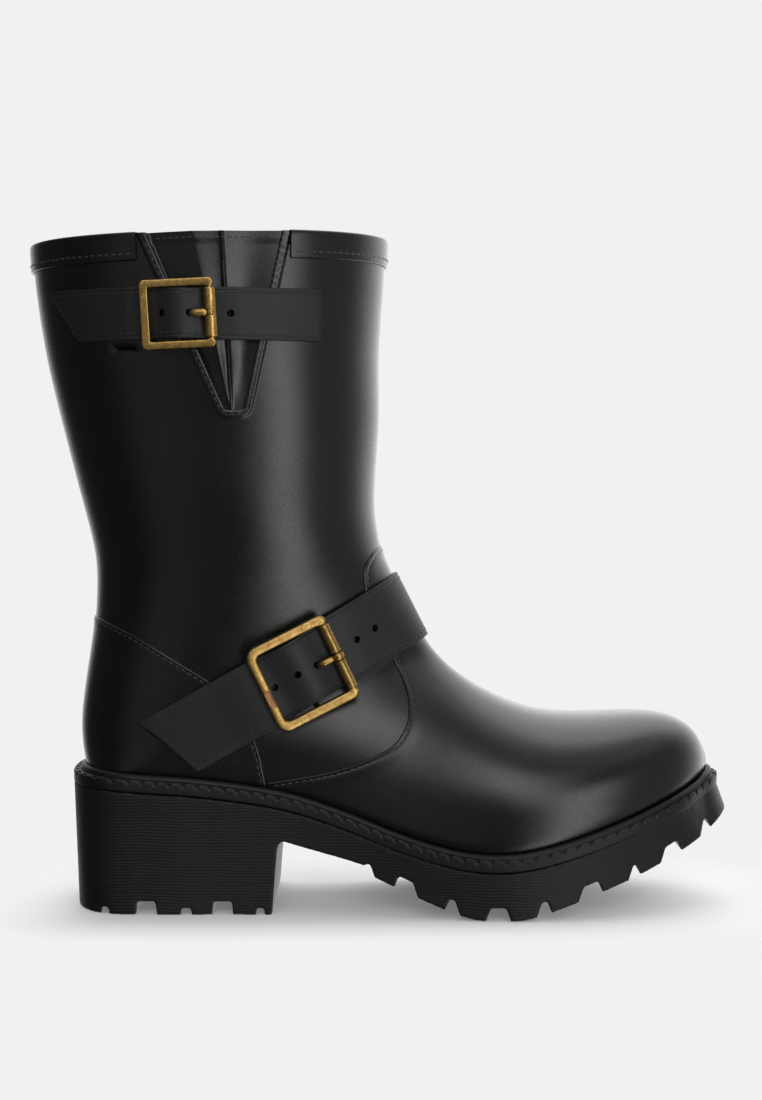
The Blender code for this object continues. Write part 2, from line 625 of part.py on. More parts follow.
shank_room = tube_solid("shank_room", shank_rings(7.0, -2.6, 20.0, 36.0, 112.0), hidden=True)
boolean(outsole, shank_room, "DIFFERENCE")
tube_solid("shank", shank_rings(7.0 - GAP, -2.6 + GAP, -0.6, 36.0 + GAP, 112.0 - GAP), mat=STEEL)

# ---------------------------------------------------------------- insole board, inside the welt
board = []
for z in (-SOLE_DROP + GAP + 0.1, -SOLE_DROP + GAP + 1.1):
    board.append([(p[0] - n.x * 4.5, p[1] - n.y * 4.5, welt_top(p[0] - n.x * 4.5) + z) for p, n in zip(foot, foot_n)])
plate("insole_board", board, BOARD, 20 + 5)


# ---------------------------------------------------------------- straps
def strap_sections(rays, axis_up, wide, lift, slack, samples=5):
    """For each ray of the path, the straight cross-section of the strap: (low edge, high edge, outward normal).
    A strap is straight across its width, so it rests on the highest points of the boot and bridges the hollows."""
    up = Vector(axis_up)
    rows = []
    for k, (o, d) in enumerate(rays):
        w = wide(k / (len(rays) - 1))
        pts, nrm = [], Vector((0, 0, 0))
        for s in range(samples):
            f = -0.5 + s / (samples - 1)
            start = Vector(o) + up * (w * f)
            start.z = max(start.z, welt_top(start.x) + 3.5)
            found = cast(start, d)
            pts.append(found[0])
            nrm += found[1]
        n = (nrm - up * nrm.dot(up)).normalized()
        a, b = pts[0], pts[-1]
        # straight line through the two edges, pushed out to clear everything between
        over = max((pts[s] - a.lerp(b, s / (samples - 1))).dot(n) for s in range(samples))
        rows.append([a, b, n, over])
    # even out the lift along the strap
    for _ in range(3):
        rows = [[r[0], r[1], r[2], max(r[3], (rows[max(i - 1, 0)][3] + r[3] + rows[min(i + 1, len(rows) - 1)][3]) / 3)] for i, r in enumerate(rows)]
    return [(a + n * (over + slack + lift(i / (len(rows) - 1))), b + n * (over + slack + lift(i / (len(rows) - 1))), n) for i, (a, b, n, over) in enumerate(rows)]


def strap_rings(sections, thick, taper):
    """Closed rings through the strap: low inner, low outer, high outer, high inner. taper slants the ends."""
    rings = []
    for k, (a, b, n) in enumerate(sections):
        rings.append([tuple(a), tuple(a + n * thick), tuple(b + n * thick), tuple(b)])
    return rings


def arc_lengths(sections):
    mids = [(a + b) / 2 for a, b, _ in sections]
    d = [0.0]
    for p, q in zip(mids, mids[1:]):
        d.append(d[-1] + (q - p).length)
    return d


# Calf strap: level, from its pointed tail behind the gusset to its stitched end in front of it
CALF_RAYS = []
for k in range(5):
    a = math.radians(-146 + 14.0 * k)
    CALF_RAYS.append(((-12.0, 0, CALF_STRAP_Z), (math.cos(a), math.sin(a), 0)))
for k in range(15):
    CALF_RAYS.append(((-12.0 + 66.0 * k / 14, 0, CALF_STRAP_Z), (0, -1, 0)))
CALF_RAYS.append(((50.0, 0, CALF_STRAP_Z), (0.30, -1, 0)))

CALF_BUCKLE_X = 6.9       # middle of the calf buckle along X
CALF_BUCKLE_LONG = 26.0   # between its left and right bars' middles


def bump(distance, half):
    return math.cos(math.pi / 2 * distance / half) ** 2 if abs(distance) < half else 0.0


flat = strap_sections(CALF_RAYS, (0, 0, 1), lambda f: CALF_STRAP_WIDE, lambda f: 0.0, 1.25)


def resample(sections, step):
    """The same strap with its cross-sections an even step apart, as functions of the distance along it."""
    d = arc_lengths(sections)
    n = max(2, int(round(d[-1] / step)))
    out = []
    for k in range(n + 1):
        s = d[-1] * k / n
        i = min(max(j for j in range(len(d)) if d[j] <= s + 1e-9), len(d) - 2)
        f = (s - d[i]) / (d[i + 1] - d[i])
        (a0, b0, n0), (a1, b1, n1) = sections[i], sections[i + 1]
        out.append((a0.lerp(a1, f), b0.lerp(b1, f), n0.lerp(n1, f).normalized(), s))
    return out, d[-1]


class Buckled:
    """A strap with a buckle on it: keeps the place and the axes of the buckle."""

    def __init__(self, sections, thick, near, window, rise, step, clear, turn):
        rows, total = resample(sections, step)
        mids = [(a + b) / 2 for a, b, _, _ in rows]
        c = min(range(len(mids)), key=lambda i: (mids[i] - Vector(near)).length)
        self.centre_s = rows[c][3]
        half = window / 2 - 1.6
        self.rows = []
        for a, b, n, s in rows:
            r = rise * bump(s - self.centre_s, half)
            self.rows.append((a + n * r, b + n * r, n, s))
        a, b, n, s = rows[c]
        before, after = rows[max(c - 3, 0)], rows[min(c + 3, len(rows) - 1)]
        tangent = ((after[0] + after[1]) / 2 - (before[0] + before[1]) / 2).normalized()
        up = (b - a).normalized()
        tangent = (tangent - up * tangent.dot(up)).normalized()
        normal = tangent.cross(up) if tangent.cross(up).dot(n) > 0 else up.cross(tangent)
        spin = Matrix.Rotation(turn, 3, normal)
        self.t, self.b, self.n = (spin @ tangent).normalized(), (spin @ up).normalized(), normal.normalized()
        self.thick = thick
        # the frame's under side clears the strap's outer face under both outer bars
        top = max(((q + n2 * thick) - (a + b) / 2).dot(self.n) for a2, b2, n2, s2 in self.rows for q in (a2, b2) if window / 2 - 3.5 < abs(s2 - self.centre_s) < window / 2 + 3.5)
        self.o = (a + b) / 2 + self.n * (top + clear)

    def at(self, t, b, n):
        """Millimetres along the strap, across it and out of it, from the buckle's middle at the frame's under side."""
        return self.o + self.t * t + self.b * b + self.n * n


def sample_row(rows, s):
    i = 0
    while i < len(rows) - 2 and rows[i + 1][3] < s:
        i += 1
    f = min(max((s - rows[i][3]) / (rows[i + 1][3] - rows[i][3]), 0), 1)
    (a0, b0, n0, _), (a1, b1, n1, _) = rows[i], rows[i + 1]
    return a0.lerp(a1, f), b0.lerp(b1, f), n0.lerp(n1, f).normalized()


def slanted(name, rows, thick, slant, mat=STRAP):
    """A strap whose first end is cut on the slant: its low edge starts later than its high edge by slant."""
    total = rows[-1][3]
    rings = []
    for a, b, n, s in rows:
        low_s = slant * max(0.0, 1 - s / (3.0 * slant)) + s if slant else s
        la, _, ln = sample_row(rows, min(low_s, total))
        rings.append([tuple(la), tuple(la + ln * thick), tuple(b + n * thick), tuple(b)])
    return solid(name, *tube(rings), mat=mat)


def waisted(rows, centre, half, share):
    """The strap narrows where it passes through the buckle's window."""
    out = []
    for a, b, n, s in rows:
        f = share * bump(s - centre, half) ** 0.5 / 2
        out.append((a.lerp(b, f), b.lerp(a, f), n, s))
    return out


calf = Buckled(flat, CALF_STRAP_THICK, (CALF_BUCKLE_X, -55.0, CALF_STRAP_Z), CALF_BUCKLE_LONG, 3.0, 3.0, 1.5, math.radians(2.8))
calf.rows = waisted(calf.rows, calf.centre_s, CALF_BUCKLE_LONG / 2 + 3.0, 0.05)
calf_strap = slanted("calf_strap", calf.rows, CALF_STRAP_THICK, 17.5)

# Ankle strap: slanted, from its tail on the heel's outer side over the instep to its stitched end on the inner side
c29, s29 = math.cos(ANKLE_STRAP_SLOPE), math.sin(ANKLE_STRAP_SLOPE)
E1, E3 = Vector((c29, 0, s29)), Vector((-s29, 0, c29))
O0 = Vector((ANKLE_STRAP_MID[0], 0, ANKLE_STRAP_MID[1]))
ANKLE_RAYS = []
for k in range(17):
    ANKLE_RAYS.append((O0 + E1 * (-57.0 + 69.0 * k / 16), (0, -1, 0)))
for k in range(1, 16):
    a = -math.pi / 2 + math.pi * k / 16
    ANKLE_RAYS.append((O0 + E1 * 12.0, E1 * math.cos(a) + Vector((0, 1, 0)) * math.sin(a)))
for k in range(13):
    ANKLE_RAYS.append((O0 + E1 * (12.0 - 52.0 * k / 12), (0, 1, 0)))


def ankle_width(f):
    return ANKLE_STRAP_WIDE


ankle_flat = strap_sections(ANKLE_RAYS, E3, ankle_width, lambda f: 0.0, 1.3)
ANKLE_BUCKLE_LONG = 30.6
ankle = Buckled(ankle_flat, ANKLE_STRAP_THICK, (57.0, -39.0, 98.6), ANKLE_BUCKLE_LONG, 3.0, 3.4, 1.0, math.radians(-4.6))


ankle.rows = waisted(ankle.rows, ankle.centre_s, ANKLE_BUCKLE_LONG / 2 + 3.0, 0.21)
ankle_strap = slanted("ankle_strap", ankle.rows, ANKLE_STRAP_THICK, 13.0)


# ---------------------------------------------------------------- buckles
def loop_path(long, tall, right, left, steps=4):
    """A rounded rectangle in the buckle's own plane, from the right bar's foot, anticlockwise."""
    pts = []
    for radius, sx, sy, a0 in ((right, 1, 1, 0), (left, -1, 1, 90), (left, -1, -1, 180), (right, 1, -1, 270)):
        cx, cy = sx * (long / 2 - radius), sy * (tall / 2 - radius)
        for k in range(steps + 1):
            a = math.radians(a0 + 90 * k / steps)
            pts.append((cx + radius * math.cos(a), cy + radius * math.sin(a), math.cos(a), math.sin(a)))
    return pts


def frame_rings(where, long, tall, right, left, half_wide, high, bar_r, points=10):
    """The frame as a closed loop. Its right side is a round bar of radius bar_r."""
    rings = []
    for x, y, nx, ny in loop_path(long, tall, right, left):
        on_bar = nx > 0.94
        if on_bar:
            wide_in = wide_out = bar_r
            zc, zr = high / 2, bar_r
        else:
            wide_in = wide_out = half_wide(nx, ny)
            zc, zr = high / 2, high / 2
        r = []
        for k in range(points):
            a = 2 * math.pi * k / points
            c, s = math.cos(a), math.sin(a)
            e = 1.0 if on_bar else 0.72
            dx = math.copysign(abs(c) ** e, c) * wide_in
            dz = math.copysign(abs(s) ** e, s) * zr
            r.append(tuple(where(x + nx * dx, y + ny * dx, zc + dz)))
        rings.append(r)
    return rings


def bar_between(name, where, x, y0, y1, drop, radius, points=8, high=3.0):
    """The middle bar: joined to the frame at both ends and dipping under the strap."""
    outline_yz = [(y0, high * 0.6), (y0, drop - radius + 0.2), (y0 - 0.6, drop - radius), (y1 + 0.6, drop - radius), (y1, drop - radius + 0.2), (y1, high * 0.6), (y1 + 1.3, high * 0.6), (y1 + 1.3, drop + radius), (y0 - 1.3, drop + radius), (y0 - 1.3, high * 0.6)]
    return tube_solid(name, [[tuple(where(x + dx, y, z)) for y, z in outline_yz] for dx in (-radius, radius)], hidden=True)


def cylinder_rings(where, x, z, y0, y1, r, points=14):
    rings = []
    for y in (y0, y1):
        rings.append([tuple(where(x + r * math.cos(2 * math.pi * k / points), y, z + r * math.sin(2 * math.pi * k / points))) for k in range(points)])
    return rings


def sleeve(name, where, x, z, y0, y1, r_in, r_out, mat, origin, points=14, slot=None):
    """A tube round the bar."""
    rings = []
    outer0, outer1 = cylinder_rings(where, x, z, y0, y1, r_out, points)
    inner0, inner1 = cylinder_rings(where, x, z, y0, y1, r_in, points)
    pts = outer0 + outer1 + inner0 + inner1
    faces = []
    for j in range(points):
        k = (j + 1) % points
        faces.append((j, k, points + k, points + j))
        faces.append((2 * points + j, 2 * points + k, 3 * points + k, 3 * points + j))
        faces.append((j, k, 2 * points + k, 2 * points + j))
        faces.append((points + j, points + k, 3 * points + k, 3 * points + j))
    return solid(name, pts, faces, mat, origin)


def prong(name, where, x, z, half, r_in, r_out, reach, dip, thick, origin):
    """A pin with a loop round the bar. It reaches back over the strap and dips into a hole."""
    ring_ob = sleeve(name, where, x, z, -half, half, r_in, r_out, BRASS, origin, 14)
    path = [(x - (r_in + r_out) / 2, z + 0.35), (x - reach * 0.42, z + 0.7), (x - reach * 0.74, z + 0.55), (x - reach * 0.93, z - dip * 0.3), (x - reach, z - dip)]
    rings = []
    for i, (px, pz) in enumerate(path):
        a0, b0 = path[max(i - 1, 0)], path[min(i + 1, len(path) - 1)]
        tx, tz = b0[0] - a0[0], b0[1] - a0[1]
        ln = math.hypot(tx, tz)
        nx, nz = -tz / ln, tx / ln
        rr = thick / 2 * (1.0 if i < 3 else (0.86 if i == 3 else 0.6))
        rings.append([tuple(where(px + nx * rr * math.cos(a), rr * math.sin(a), pz + nz * rr * math.cos(a))) for a in [2 * math.pi * k / 10 for k in range(10)]])
    finger = tube_solid(name + "_finger", rings, hidden=True)
    boolean(ring_ob, finger, "UNION")
    return ring_ob


def hole(name, where, t, b, r, depth_low, depth_high, points=12):
    rings = []
    for n in (depth_low, depth_high):
        rings.append([tuple(where(t + r * math.cos(2 * math.pi * k / points), b + r * math.sin(2 * math.pi * k / points), n)) for k in range(points)])
    return tube_solid(name, rings, hidden=True)


def row_frame(strap, s):
    """A point on the strap's inner face and its axes, at distance s along it."""
    a, b, n = sample_row(strap.rows, s)
    a2, b2, _ = sample_row(strap.rows, s + 1.0)
    t = ((a2 + b2) / 2 - (a + b) / 2).normalized()
    up = (b - a).normalized()
    return (a + b) / 2, t, up, n


def punch(strap_ob, strap, places, d, tip):
    """Holes along the strap's middle line; the one under the prong is moved sideways to meet its tip."""
    for k, (s, used) in enumerate(places):
        o, t, up, n = row_frame(strap, s)
        if used:
            o = o + up * ((tip - o).dot(up)) + t * ((tip - o).dot(t))
        cutter = tube_solid(f"{strap_ob.name}_hole_{k}", [[tuple(o + t * (d / 2 * math.cos(2 * math.pi * j / 12)) + up * (d / 2 * math.sin(2 * math.pi * j / 12)) + n * v) for j in range(12)] for v in (-6.0, 9.0)], hidden=True)
        boolean(strap_ob, cutter, "DIFFERENCE")


# calf buckle: a flat cast frame
CALF_TALL = 24.2
CALF_HIGH = 2.4
BAR_R = 1.1
calf_frame = tube_solid("calf_buckle_frame", frame_rings(calf.at, CALF_BUCKLE_LONG, CALF_TALL, 1.6, 1.6, lambda nx, ny: 1.6 if abs(nx) > 0.7 else 1.45, CALF_HIGH, BAR_R), mat=BRASS, closed=True)
boolean(calf_frame, bar_between("calf_middle_bar", calf.at, -0.5, CALF_TALL / 2, -CALF_TALL / 2, -2.05, 1.0, high=CALF_HIGH), "UNION")
calf_pivot = calf.at(CALF_BUCKLE_LONG / 2, 0, CALF_HIGH / 2)
calf_roller = sleeve("calf_buckle_sleeve", calf.at, CALF_BUCKLE_LONG / 2, CALF_HIGH / 2, -9.6, 9.6, BAR_R + 0.95, BAR_R + 1.4, BRASS, calf_pivot)
# slot of the sleeve, towards the strap's hole and away from it, so that the pin can swing
slot_rings = [[tuple(calf.at(CALF_BUCKLE_LONG / 2 + dx, dy, CALF_HIGH / 2 + dz)) for dx, dz in ((-6, -1.5), (1.5, -1.5), (1.5, 6.0), (-6, 6.0))] for dy in (-1.7, 1.7)]
boolean(calf_roller, tube_solid("sleeve_slot", slot_rings, hidden=True), "DIFFERENCE")
calf_prong = prong("calf_buckle_prong", calf.at, CALF_BUCKLE_LONG / 2, CALF_HIGH / 2, 1.2, BAR_R + 0.15, BAR_R + 0.75, 8.6, 1.5, 1.8, calf_pivot)
punch(calf_strap, calf, [(calf.centre_s + CALF_BUCKLE_LONG / 2 - 8.3 + d, d == 0.0) for d in (-11.0, 0.0, 18.8)], HOLE_D, calf.at(CALF_BUCKLE_LONG / 2 - 7.9, 0, 0))

# ankle buckle: a bent bar frame with two rollers
ANKLE_TALL = 30.4
ANKLE_HIGH = 3.2
ANKLE_BAR_R = 1.45
ankle_frame = tube_solid("ankle_buckle_frame", frame_rings(ankle.at, ANKLE_BUCKLE_LONG, ANKLE_TALL, 1.8, 3.4, lambda nx, ny: 1.6, ANKLE_HIGH, ANKLE_BAR_R), mat=BRASS, closed=True)
boolean(ankle_frame, bar_between("ankle_middle_bar", ankle.at, -0.5, ANKLE_TALL / 2, -ANKLE_TALL / 2, -2.35, 1.0, high=ANKLE_HIGH), "UNION")
ankle_pivot = ankle.at(ANKLE_BUCKLE_LONG / 2, 0, ANKLE_HIGH / 2)
for tag, y0, y1 in (("upper", 1.8, 13.0), ("lower", -13.0, -1.8)):
    sleeve(f"ankle_buckle_roller_{tag}", ankle.at, ANKLE_BUCKLE_LONG / 2, ANKLE_HIGH / 2, y0, y1, ANKLE_BAR_R + 0.15, ANKLE_BAR_R + 0.85, BRASS, ankle_pivot)
prong("ankle_buckle_prong", ankle.at, ANKLE_BUCKLE_LONG / 2, ANKLE_HIGH / 2, 1.4, ANKLE_BAR_R + 0.15, ANKLE_BAR_R + 1.1, 9.0, 1.6, 2.1, ankle_pivot)
punch(ankle_strap, ankle, [(ankle.centre_s + ANKLE_BUCKLE_LONG / 2 - 8.7 + d, d == 0.0) for d in (-23.6, -11.8, 0.0, 12.6, 24.4)], HOLE_D, ankle.at(ANKLE_BUCKLE_LONG / 2 - 8.6, 0, 0))

# inlay plate on the ankle buckle's left bar
inlay = tube_solid("ankle_buckle_inlay", [[tuple(ankle.at(-ANKLE_BUCKLE_LONG / 2 + dx, y, ANKLE_HIGH + dz)) for dx, dz in ((-1.3, 0.08), (1.3, 0.08), (1.2, 0.5), (-1.2, 0.5))] for y in (-6.6, 0.6)], mat=COPPER)

bpy.context.view_layer.update()
print("CALF", [round(v, 3) for v in calf_pivot], [round(v, 4) for v in calf.b], [round(v, 4) for v in calf.n], [round(v, 4) for v in calf.t])
print("ANKLE", [round(v, 3) for v in ankle_pivot], [round(v, 4) for v in ankle.b], [round(v, 4) for v in ankle.n], [round(v, 4) for v in ankle.t])
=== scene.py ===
import math

import bmesh
import bpy
import numpy as np
from mathutils import Matrix, Vector
from mathutils.bvhtree import BVHTree


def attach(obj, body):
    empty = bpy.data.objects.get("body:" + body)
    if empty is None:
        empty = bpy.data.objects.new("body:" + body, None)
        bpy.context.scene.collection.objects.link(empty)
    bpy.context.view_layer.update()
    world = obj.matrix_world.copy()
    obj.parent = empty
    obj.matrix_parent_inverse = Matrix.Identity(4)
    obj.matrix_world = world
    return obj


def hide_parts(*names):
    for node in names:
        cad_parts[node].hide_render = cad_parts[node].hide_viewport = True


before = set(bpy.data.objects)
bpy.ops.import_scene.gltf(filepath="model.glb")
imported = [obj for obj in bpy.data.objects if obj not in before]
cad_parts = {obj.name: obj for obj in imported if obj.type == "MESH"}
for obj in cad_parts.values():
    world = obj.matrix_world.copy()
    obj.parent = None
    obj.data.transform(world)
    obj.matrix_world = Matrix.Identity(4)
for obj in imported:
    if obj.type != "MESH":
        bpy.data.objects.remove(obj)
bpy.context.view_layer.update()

# Lengths below are in millimetres; meshes are made in metres.
MM = 0.001
RUBBER = 2.4
WELT_OUT = 6.6
SOLE_DROP = 5.2
LUG_DEEP = 5.4
CALF_STRAP_Z = 243.3
CALF_STRAP_WIDE = 20.6
CALF_STRAP_THICK = 2.2
ANKLE_STRAP_WIDE = 29.4
ANKLE_STRAP_THICK = 2.6
ANKLE_STRAP_MID = (45.0, 94.2)
ANKLE_STRAP_SLOPE = math.radians(29.5)

# back/bottom x, z | front/top x, z | half-width outer side, inner side | centre shift | place of the widest point | roundness low end, high end
LAST = [
    (-58.4, 274.0, 89.0, 277.2, 54.5, 54.5, 0.0, 0.50, 2.15, 2.15),
    (-57.2, 257.0, 88.2, 257.5, 53.6, 53.6, 0.0, 0.50, 2.15, 2.15),
    (-53.2, 230.0, 86.4, 230.0, 51.8, 51.8, 0.0, 0.50, 2.15, 2.15),
    (-47.9, 206.0, 86.4, 206.0, 49.4, 49.4, 0.0, 0.50, 2.15, 2.12),
    (-41.9, 182.0, 85.0, 182.0, 46.8, 46.8, 0.0, 0.50, 2.15, 2.10),
    (-36.5, 161.0, 84.7, 163.0, 44.2, 44.2, 0.0, 0.49, 2.15, 2.08),
    (-33.2, 145.0, 87.2, 148.5, 41.8, 41.8, 0.0, 0.48, 2.15, 2.05),
    (-32.8, 131.0, 89.6, 142.0, 40.0, 40.0, 0.0, 0.46, 2.15, 2.02),
    (-33.6, 118.0, 92.2, 136.0, 38.6, 38.6, 0.0, 0.44, 2.20, 2.00),
    (-35.6, 104.0, 95.0, 130.0, 37.4, 37.4, 0.0, 0.42, 2.25, 2.00),
    (-37.8, 89.0, 98.0, 124.0, 36.4, 36.4, 0.0, 0.40, 2.30, 2.00),
    (-39.0, 75.0, 101.0, 118.4, 35.6, 35.6, 0.0, 0.38, 2.40, 2.00),
    (-37.8, 62.5, 103.6, 113.8, 35.0, 34.6, 0.0, 0.36, 2.60, 2.00),
    (-34.0, 54.6, 105.6, 110.4, 34.4, 33.8, 0.0, 0.34, 3.40, 2.00),
    (-22.0, 52.4, 107.6, 107.4, 33.8, 32.8, 0.0, 0.32, 4.60, 2.00),
    (4.0, 51.0, 109.8, 104.6, 33.4, 31.6, 0.0, 0.30, 5.00, 2.02),
    (34.0, 47.6, 112.4, 101.8, 33.2, 30.4, -0.3, 0.30, 5.00, 2.04),
    (62.0, 40.4, 115.4, 99.0, 34.4, 30.6, -0.6, 0.30, 5.00, 2.06),
    (84.0, 32.8, 119.2, 96.0, 37.4, 33.0, -0.6, 0.30, 5.00, 2.08),
    (103.0, 26.4, 124.6, 92.2, 41.4, 37.4, -0.3, 0.30, 5.00, 2.10),
    (120.0, 22.6, 132.4, 87.8, 44.8, 41.8, 0.0, 0.30, 5.00, 2.14),
    (136.0, 21.6, 142.6, 83.4, 46.8, 45.2, 0.2, 0.30, 5.00, 2.18),
    (152.0, 23.8, 154.6, 80.0, 46.8, 46.4, 0.8, 0.30, 4.80, 2.22),
    (167.0, 28.2, 167.4, 78.7, 44.8, 45.2, 1.4, 0.30, 4.60, 2.26),
    (182.0, 33.2, 180.6, 78.6, 41.0, 41.6, 2.0, 0.31, 4.20, 2.30),
    (196.0, 38.4, 193.6, 78.9, 35.4, 35.8, 2.6, 0.32, 3.80, 2.34),
    (208.0, 43.6, 205.2, 78.2, 28.4, 28.6, 3.1, 0.34, 3.40, 2.36),
    (216.5, 48.4, 214.2, 75.2, 20.6, 20.8, 3.5, 0.36, 3.00, 2.36),
    (221.8, 51.4, 220.4, 70.2, 12.8, 13.0, 3.8, 0.38, 2.60, 2.30),
    (224.8, 54.6, 224.2, 63.4, 5.0, 5.0, 4.0, 0.42, 2.30, 2.20),
]
WELT_TOP = [(-60, 57.6), (-38, 57.0), (-5, 54.8), (12, 53.6), (39, 50.0), (54, 46.6), (74, 40.0), (95, 32.2), (115, 26.6),
            (129, 24.8), (142, 25.2), (153, 27.2), (166, 30.8), (186, 37.4), (203, 43.8), (218, 50.4), (228, 56.2), (240, 62.0)]
TREAD = [(78, 20.0), (86, 15.4), (97, 10.6), (108, 6.0), (118, 2.2), (128, 0.0), (142, 0.0), (152, 2.2), (164, 6.2), (180, 12.0),
         (196, 18.0), (212, 25.4), (224, 31.6), (232, 37.0), (244, 46.0)]
LUGS = [(84.5, 92.5), (102.0, 113.0), (119.0, 129.5), (139.5, 150.0), (156.0, 167.0), (177.0, 188.0), (193.0, 202.0), (211.0, 220.0), (225.0, 250.0)]
HEEL_GROOVES = [(-12.6, -5.2), (18.6, 26.0)]
HEEL_NICKS = [(-27.5, -24.5), (5.4, 9.4), (36.2, 39.4)]
BREAST = 44.0
WAIST = [(48.0, 29.6), (60.0, 26.6), (72.0, 23.4), (80.0, 21.0)]
COUNTER_SEAM = [(-45.0, 121.4), (-32.8, 120.6), (-26.0, 119.2), (-13.6, 114.4), (-2.2, 108.2), (8.7, 101.6), (17.2, 96.2), (26.6, 87.4),
                (33.4, 77.6), (37.4, 66.6), (39.0, 59.0), (40.0, 53.6), (40.2, 40.0)]
VAMP_SEAM = [(100.0, 153.6), (87.2, 149.8), (83.0, 146.4), (80.4, 142.0), (79.9, 136.4), (81.6, 126.0), (86.4, 114.6), (91.8, 103.6), (95.8, 95.4),
             (98.3, 86.6), (97.6, 78.2), (92.8, 70.4), (84.6, 65.4), (73.0, 60.9), (61.4, 57.9), (50.8, 56.0), (40.2, 54.2), (40.2, 40.0)]
GUSSET = {"left": (-6.4, 24.0), "right": (48.4, 33.2), "foot": 205.6}
GUSSET_RIDGES = ((12.9, 27.4), (24.4, 28.0))
RIM = 276.0


# ---------------------------------------------------------------- shape functions
def ease(a, b, x):
    t = np.clip((np.asarray(x, float) - a) / (b - a), 0, 1)
    return t * t * (3 - 2 * t)


def smooth(rows, u):
    """A smooth curve through the rows, u counted in rows."""
    rows = np.asarray(rows, float)
    n = len(rows) - 1
    u = min(max(u, 0.0), float(n))
    i = min(int(u), n - 1)
    f = u - i
    p1, p2 = rows[i], rows[i + 1]
    p0 = rows[i - 1] if i > 0 else 2 * p1 - p2
    p3 = rows[i + 2] if i + 2 <= n else 2 * p2 - p1
    return 0.5 * (2 * p1 + (p2 - p0) * f + (2 * p0 - 5 * p1 + 4 * p2 - p3) * f * f + (3 * p1 - p0 - 3 * p2 + p3) * f**3)


def along(table, x):
    xs = [p[0] for p in table]
    zs = [p[1] for p in table]
    n = len(xs)
    if x <= xs[0]:
        return zs[0] + (x - xs[0]) * (zs[1] - zs[0]) / (xs[1] - xs[0])
    if x >= xs[-1]:
        return zs[-1] + (x - xs[-1]) * (zs[-1] - zs[-2]) / (xs[-1] - xs[-2])
    i = max(k for k in range(n - 1) if xs[k] <= x)
    h = xs[i + 1] - xs[i]

    def slope(k):
        a, b = max(k - 1, 0), min(k + 1, n - 1)
        return (zs[b] - zs[a]) / (xs[b] - xs[a])

    t = (x - xs[i]) / h
    return (zs[i] * (1 + 2 * t) * (1 - t) ** 2 + slope(i) * h * t * (1 - t) ** 2
            + zs[i + 1] * t * t * (3 - 2 * t) + slope(i + 1) * h * t * t * (t - 1))


def welt_top(x):
    return along(WELT_TOP, x)


def tread(x):
    return max(along(TREAD, x), 0.0)


def ring(u, count, exact):
    """One closed ring of the upper's outer surface. exact repeats the frame's own ring."""
    bx, bz, fx, fz, wl, wm, yc, tm, n1, n2 = smooth(LAST, u)
    if u > 14:
        if exact:
            bz = welt_top(bx) - 3.0 if bx < 214 else bz
        else:
            f = float(ease(200, 219, bx))
            bz = (welt_top(bx) - 3.0) * (1 - f) + bz * f
    a = np.linspace(0, math.pi, 181 if exact else 721)
    s, c = np.sin(a), np.abs(np.cos(a))
    low = np.arange(len(a)) <= len(a) // 2
    t = np.where(low, tm * (1 - c ** (2 / n1)), tm + (1 - tm) * c ** (2 / n2))
    w1 = np.where(low, s ** (2 / n1), s ** (2 / n2))
    span = math.hypot(fx - bx, fz - bz)
    half = count // 2
    out = []
    for side, w in ((-1, wl), (1, wm)):
        y = w * w1
        d = np.concatenate([[0], np.cumsum(np.hypot(np.diff(t) * span, np.diff(y)))])
        at = np.linspace(0, d[-1], half + 1)
        tt, yy = np.interp(at, d, t), np.interp(at, d, y)
        if side > 0:
            tt, yy = tt[::-1], yy[::-1]
        out.append(np.stack([bx + tt * (fx - bx), yc + side * yy, bz + tt * (fz - bz)], 1)[:-1])
    return np.concatenate(out)


def grid_normals(grid):
    along_u = np.gradient(grid, axis=0)
    along_v = (np.roll(grid, -1, axis=1) - np.roll(grid, 1, axis=1)) / 2
    normal = np.cross(along_u, along_v)
    normal /= np.linalg.norm(normal, axis=2, keepdims=True) + 1e-12
    if ((grid - grid.mean(axis=1, keepdims=True)) * normal).sum() < 0:
        normal = -normal
    return normal


def grid_faces(n, m, cap=True):
    i, j = np.meshgrid(np.arange(n - 1), np.arange(m), indexing="ij")
    k = (j + 1) % m
    quads = np.stack([i * m + j, i * m + k, (i + 1) * m + k, (i + 1) * m + j], -1).reshape(-1, 4).tolist()
    if cap:
        quads.append([(n - 1) * m + q for q in range(m)])
    return quads


def tree_of(points, faces):
    return BVHTree.FromPolygons([Vector(p) for p in points], faces)


# ---------------------------------------------------------------- mesh helpers
def link(name, mesh):
    ob = bpy.data.objects.new(name, mesh)
    bpy.context.scene.collection.objects.link(ob)
    return ob


def piece(name, points, faces, mat, body="boot", slot=None, replaces=(), angle=40, recalc=True):
    """A finished visual piece from points in millimetres."""
    mesh = bpy.data.meshes.new(name)
    mesh.from_pydata([(float(p[0]) * MM, float(p[1]) * MM, float(p[2]) * MM) for p in points], [], [tuple(f) for f in faces])
    if recalc:
        bm = bmesh.new()
        bm.from_mesh(mesh)
        bmesh.ops.recalc_face_normals(bm, faces=bm.faces)
        bm.to_mesh(mesh)
        bm.free()
    mesh.validate()
    ob = link(name, mesh)
    if mat:
        mesh.materials.append(mat)
    mesh.shade_smooth()
    if angle:
        mesh.set_sharp_from_angle(angle=math.radians(angle))
    if body:
        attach(ob, body)
    if replaces:
        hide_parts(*replaces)
    return ob


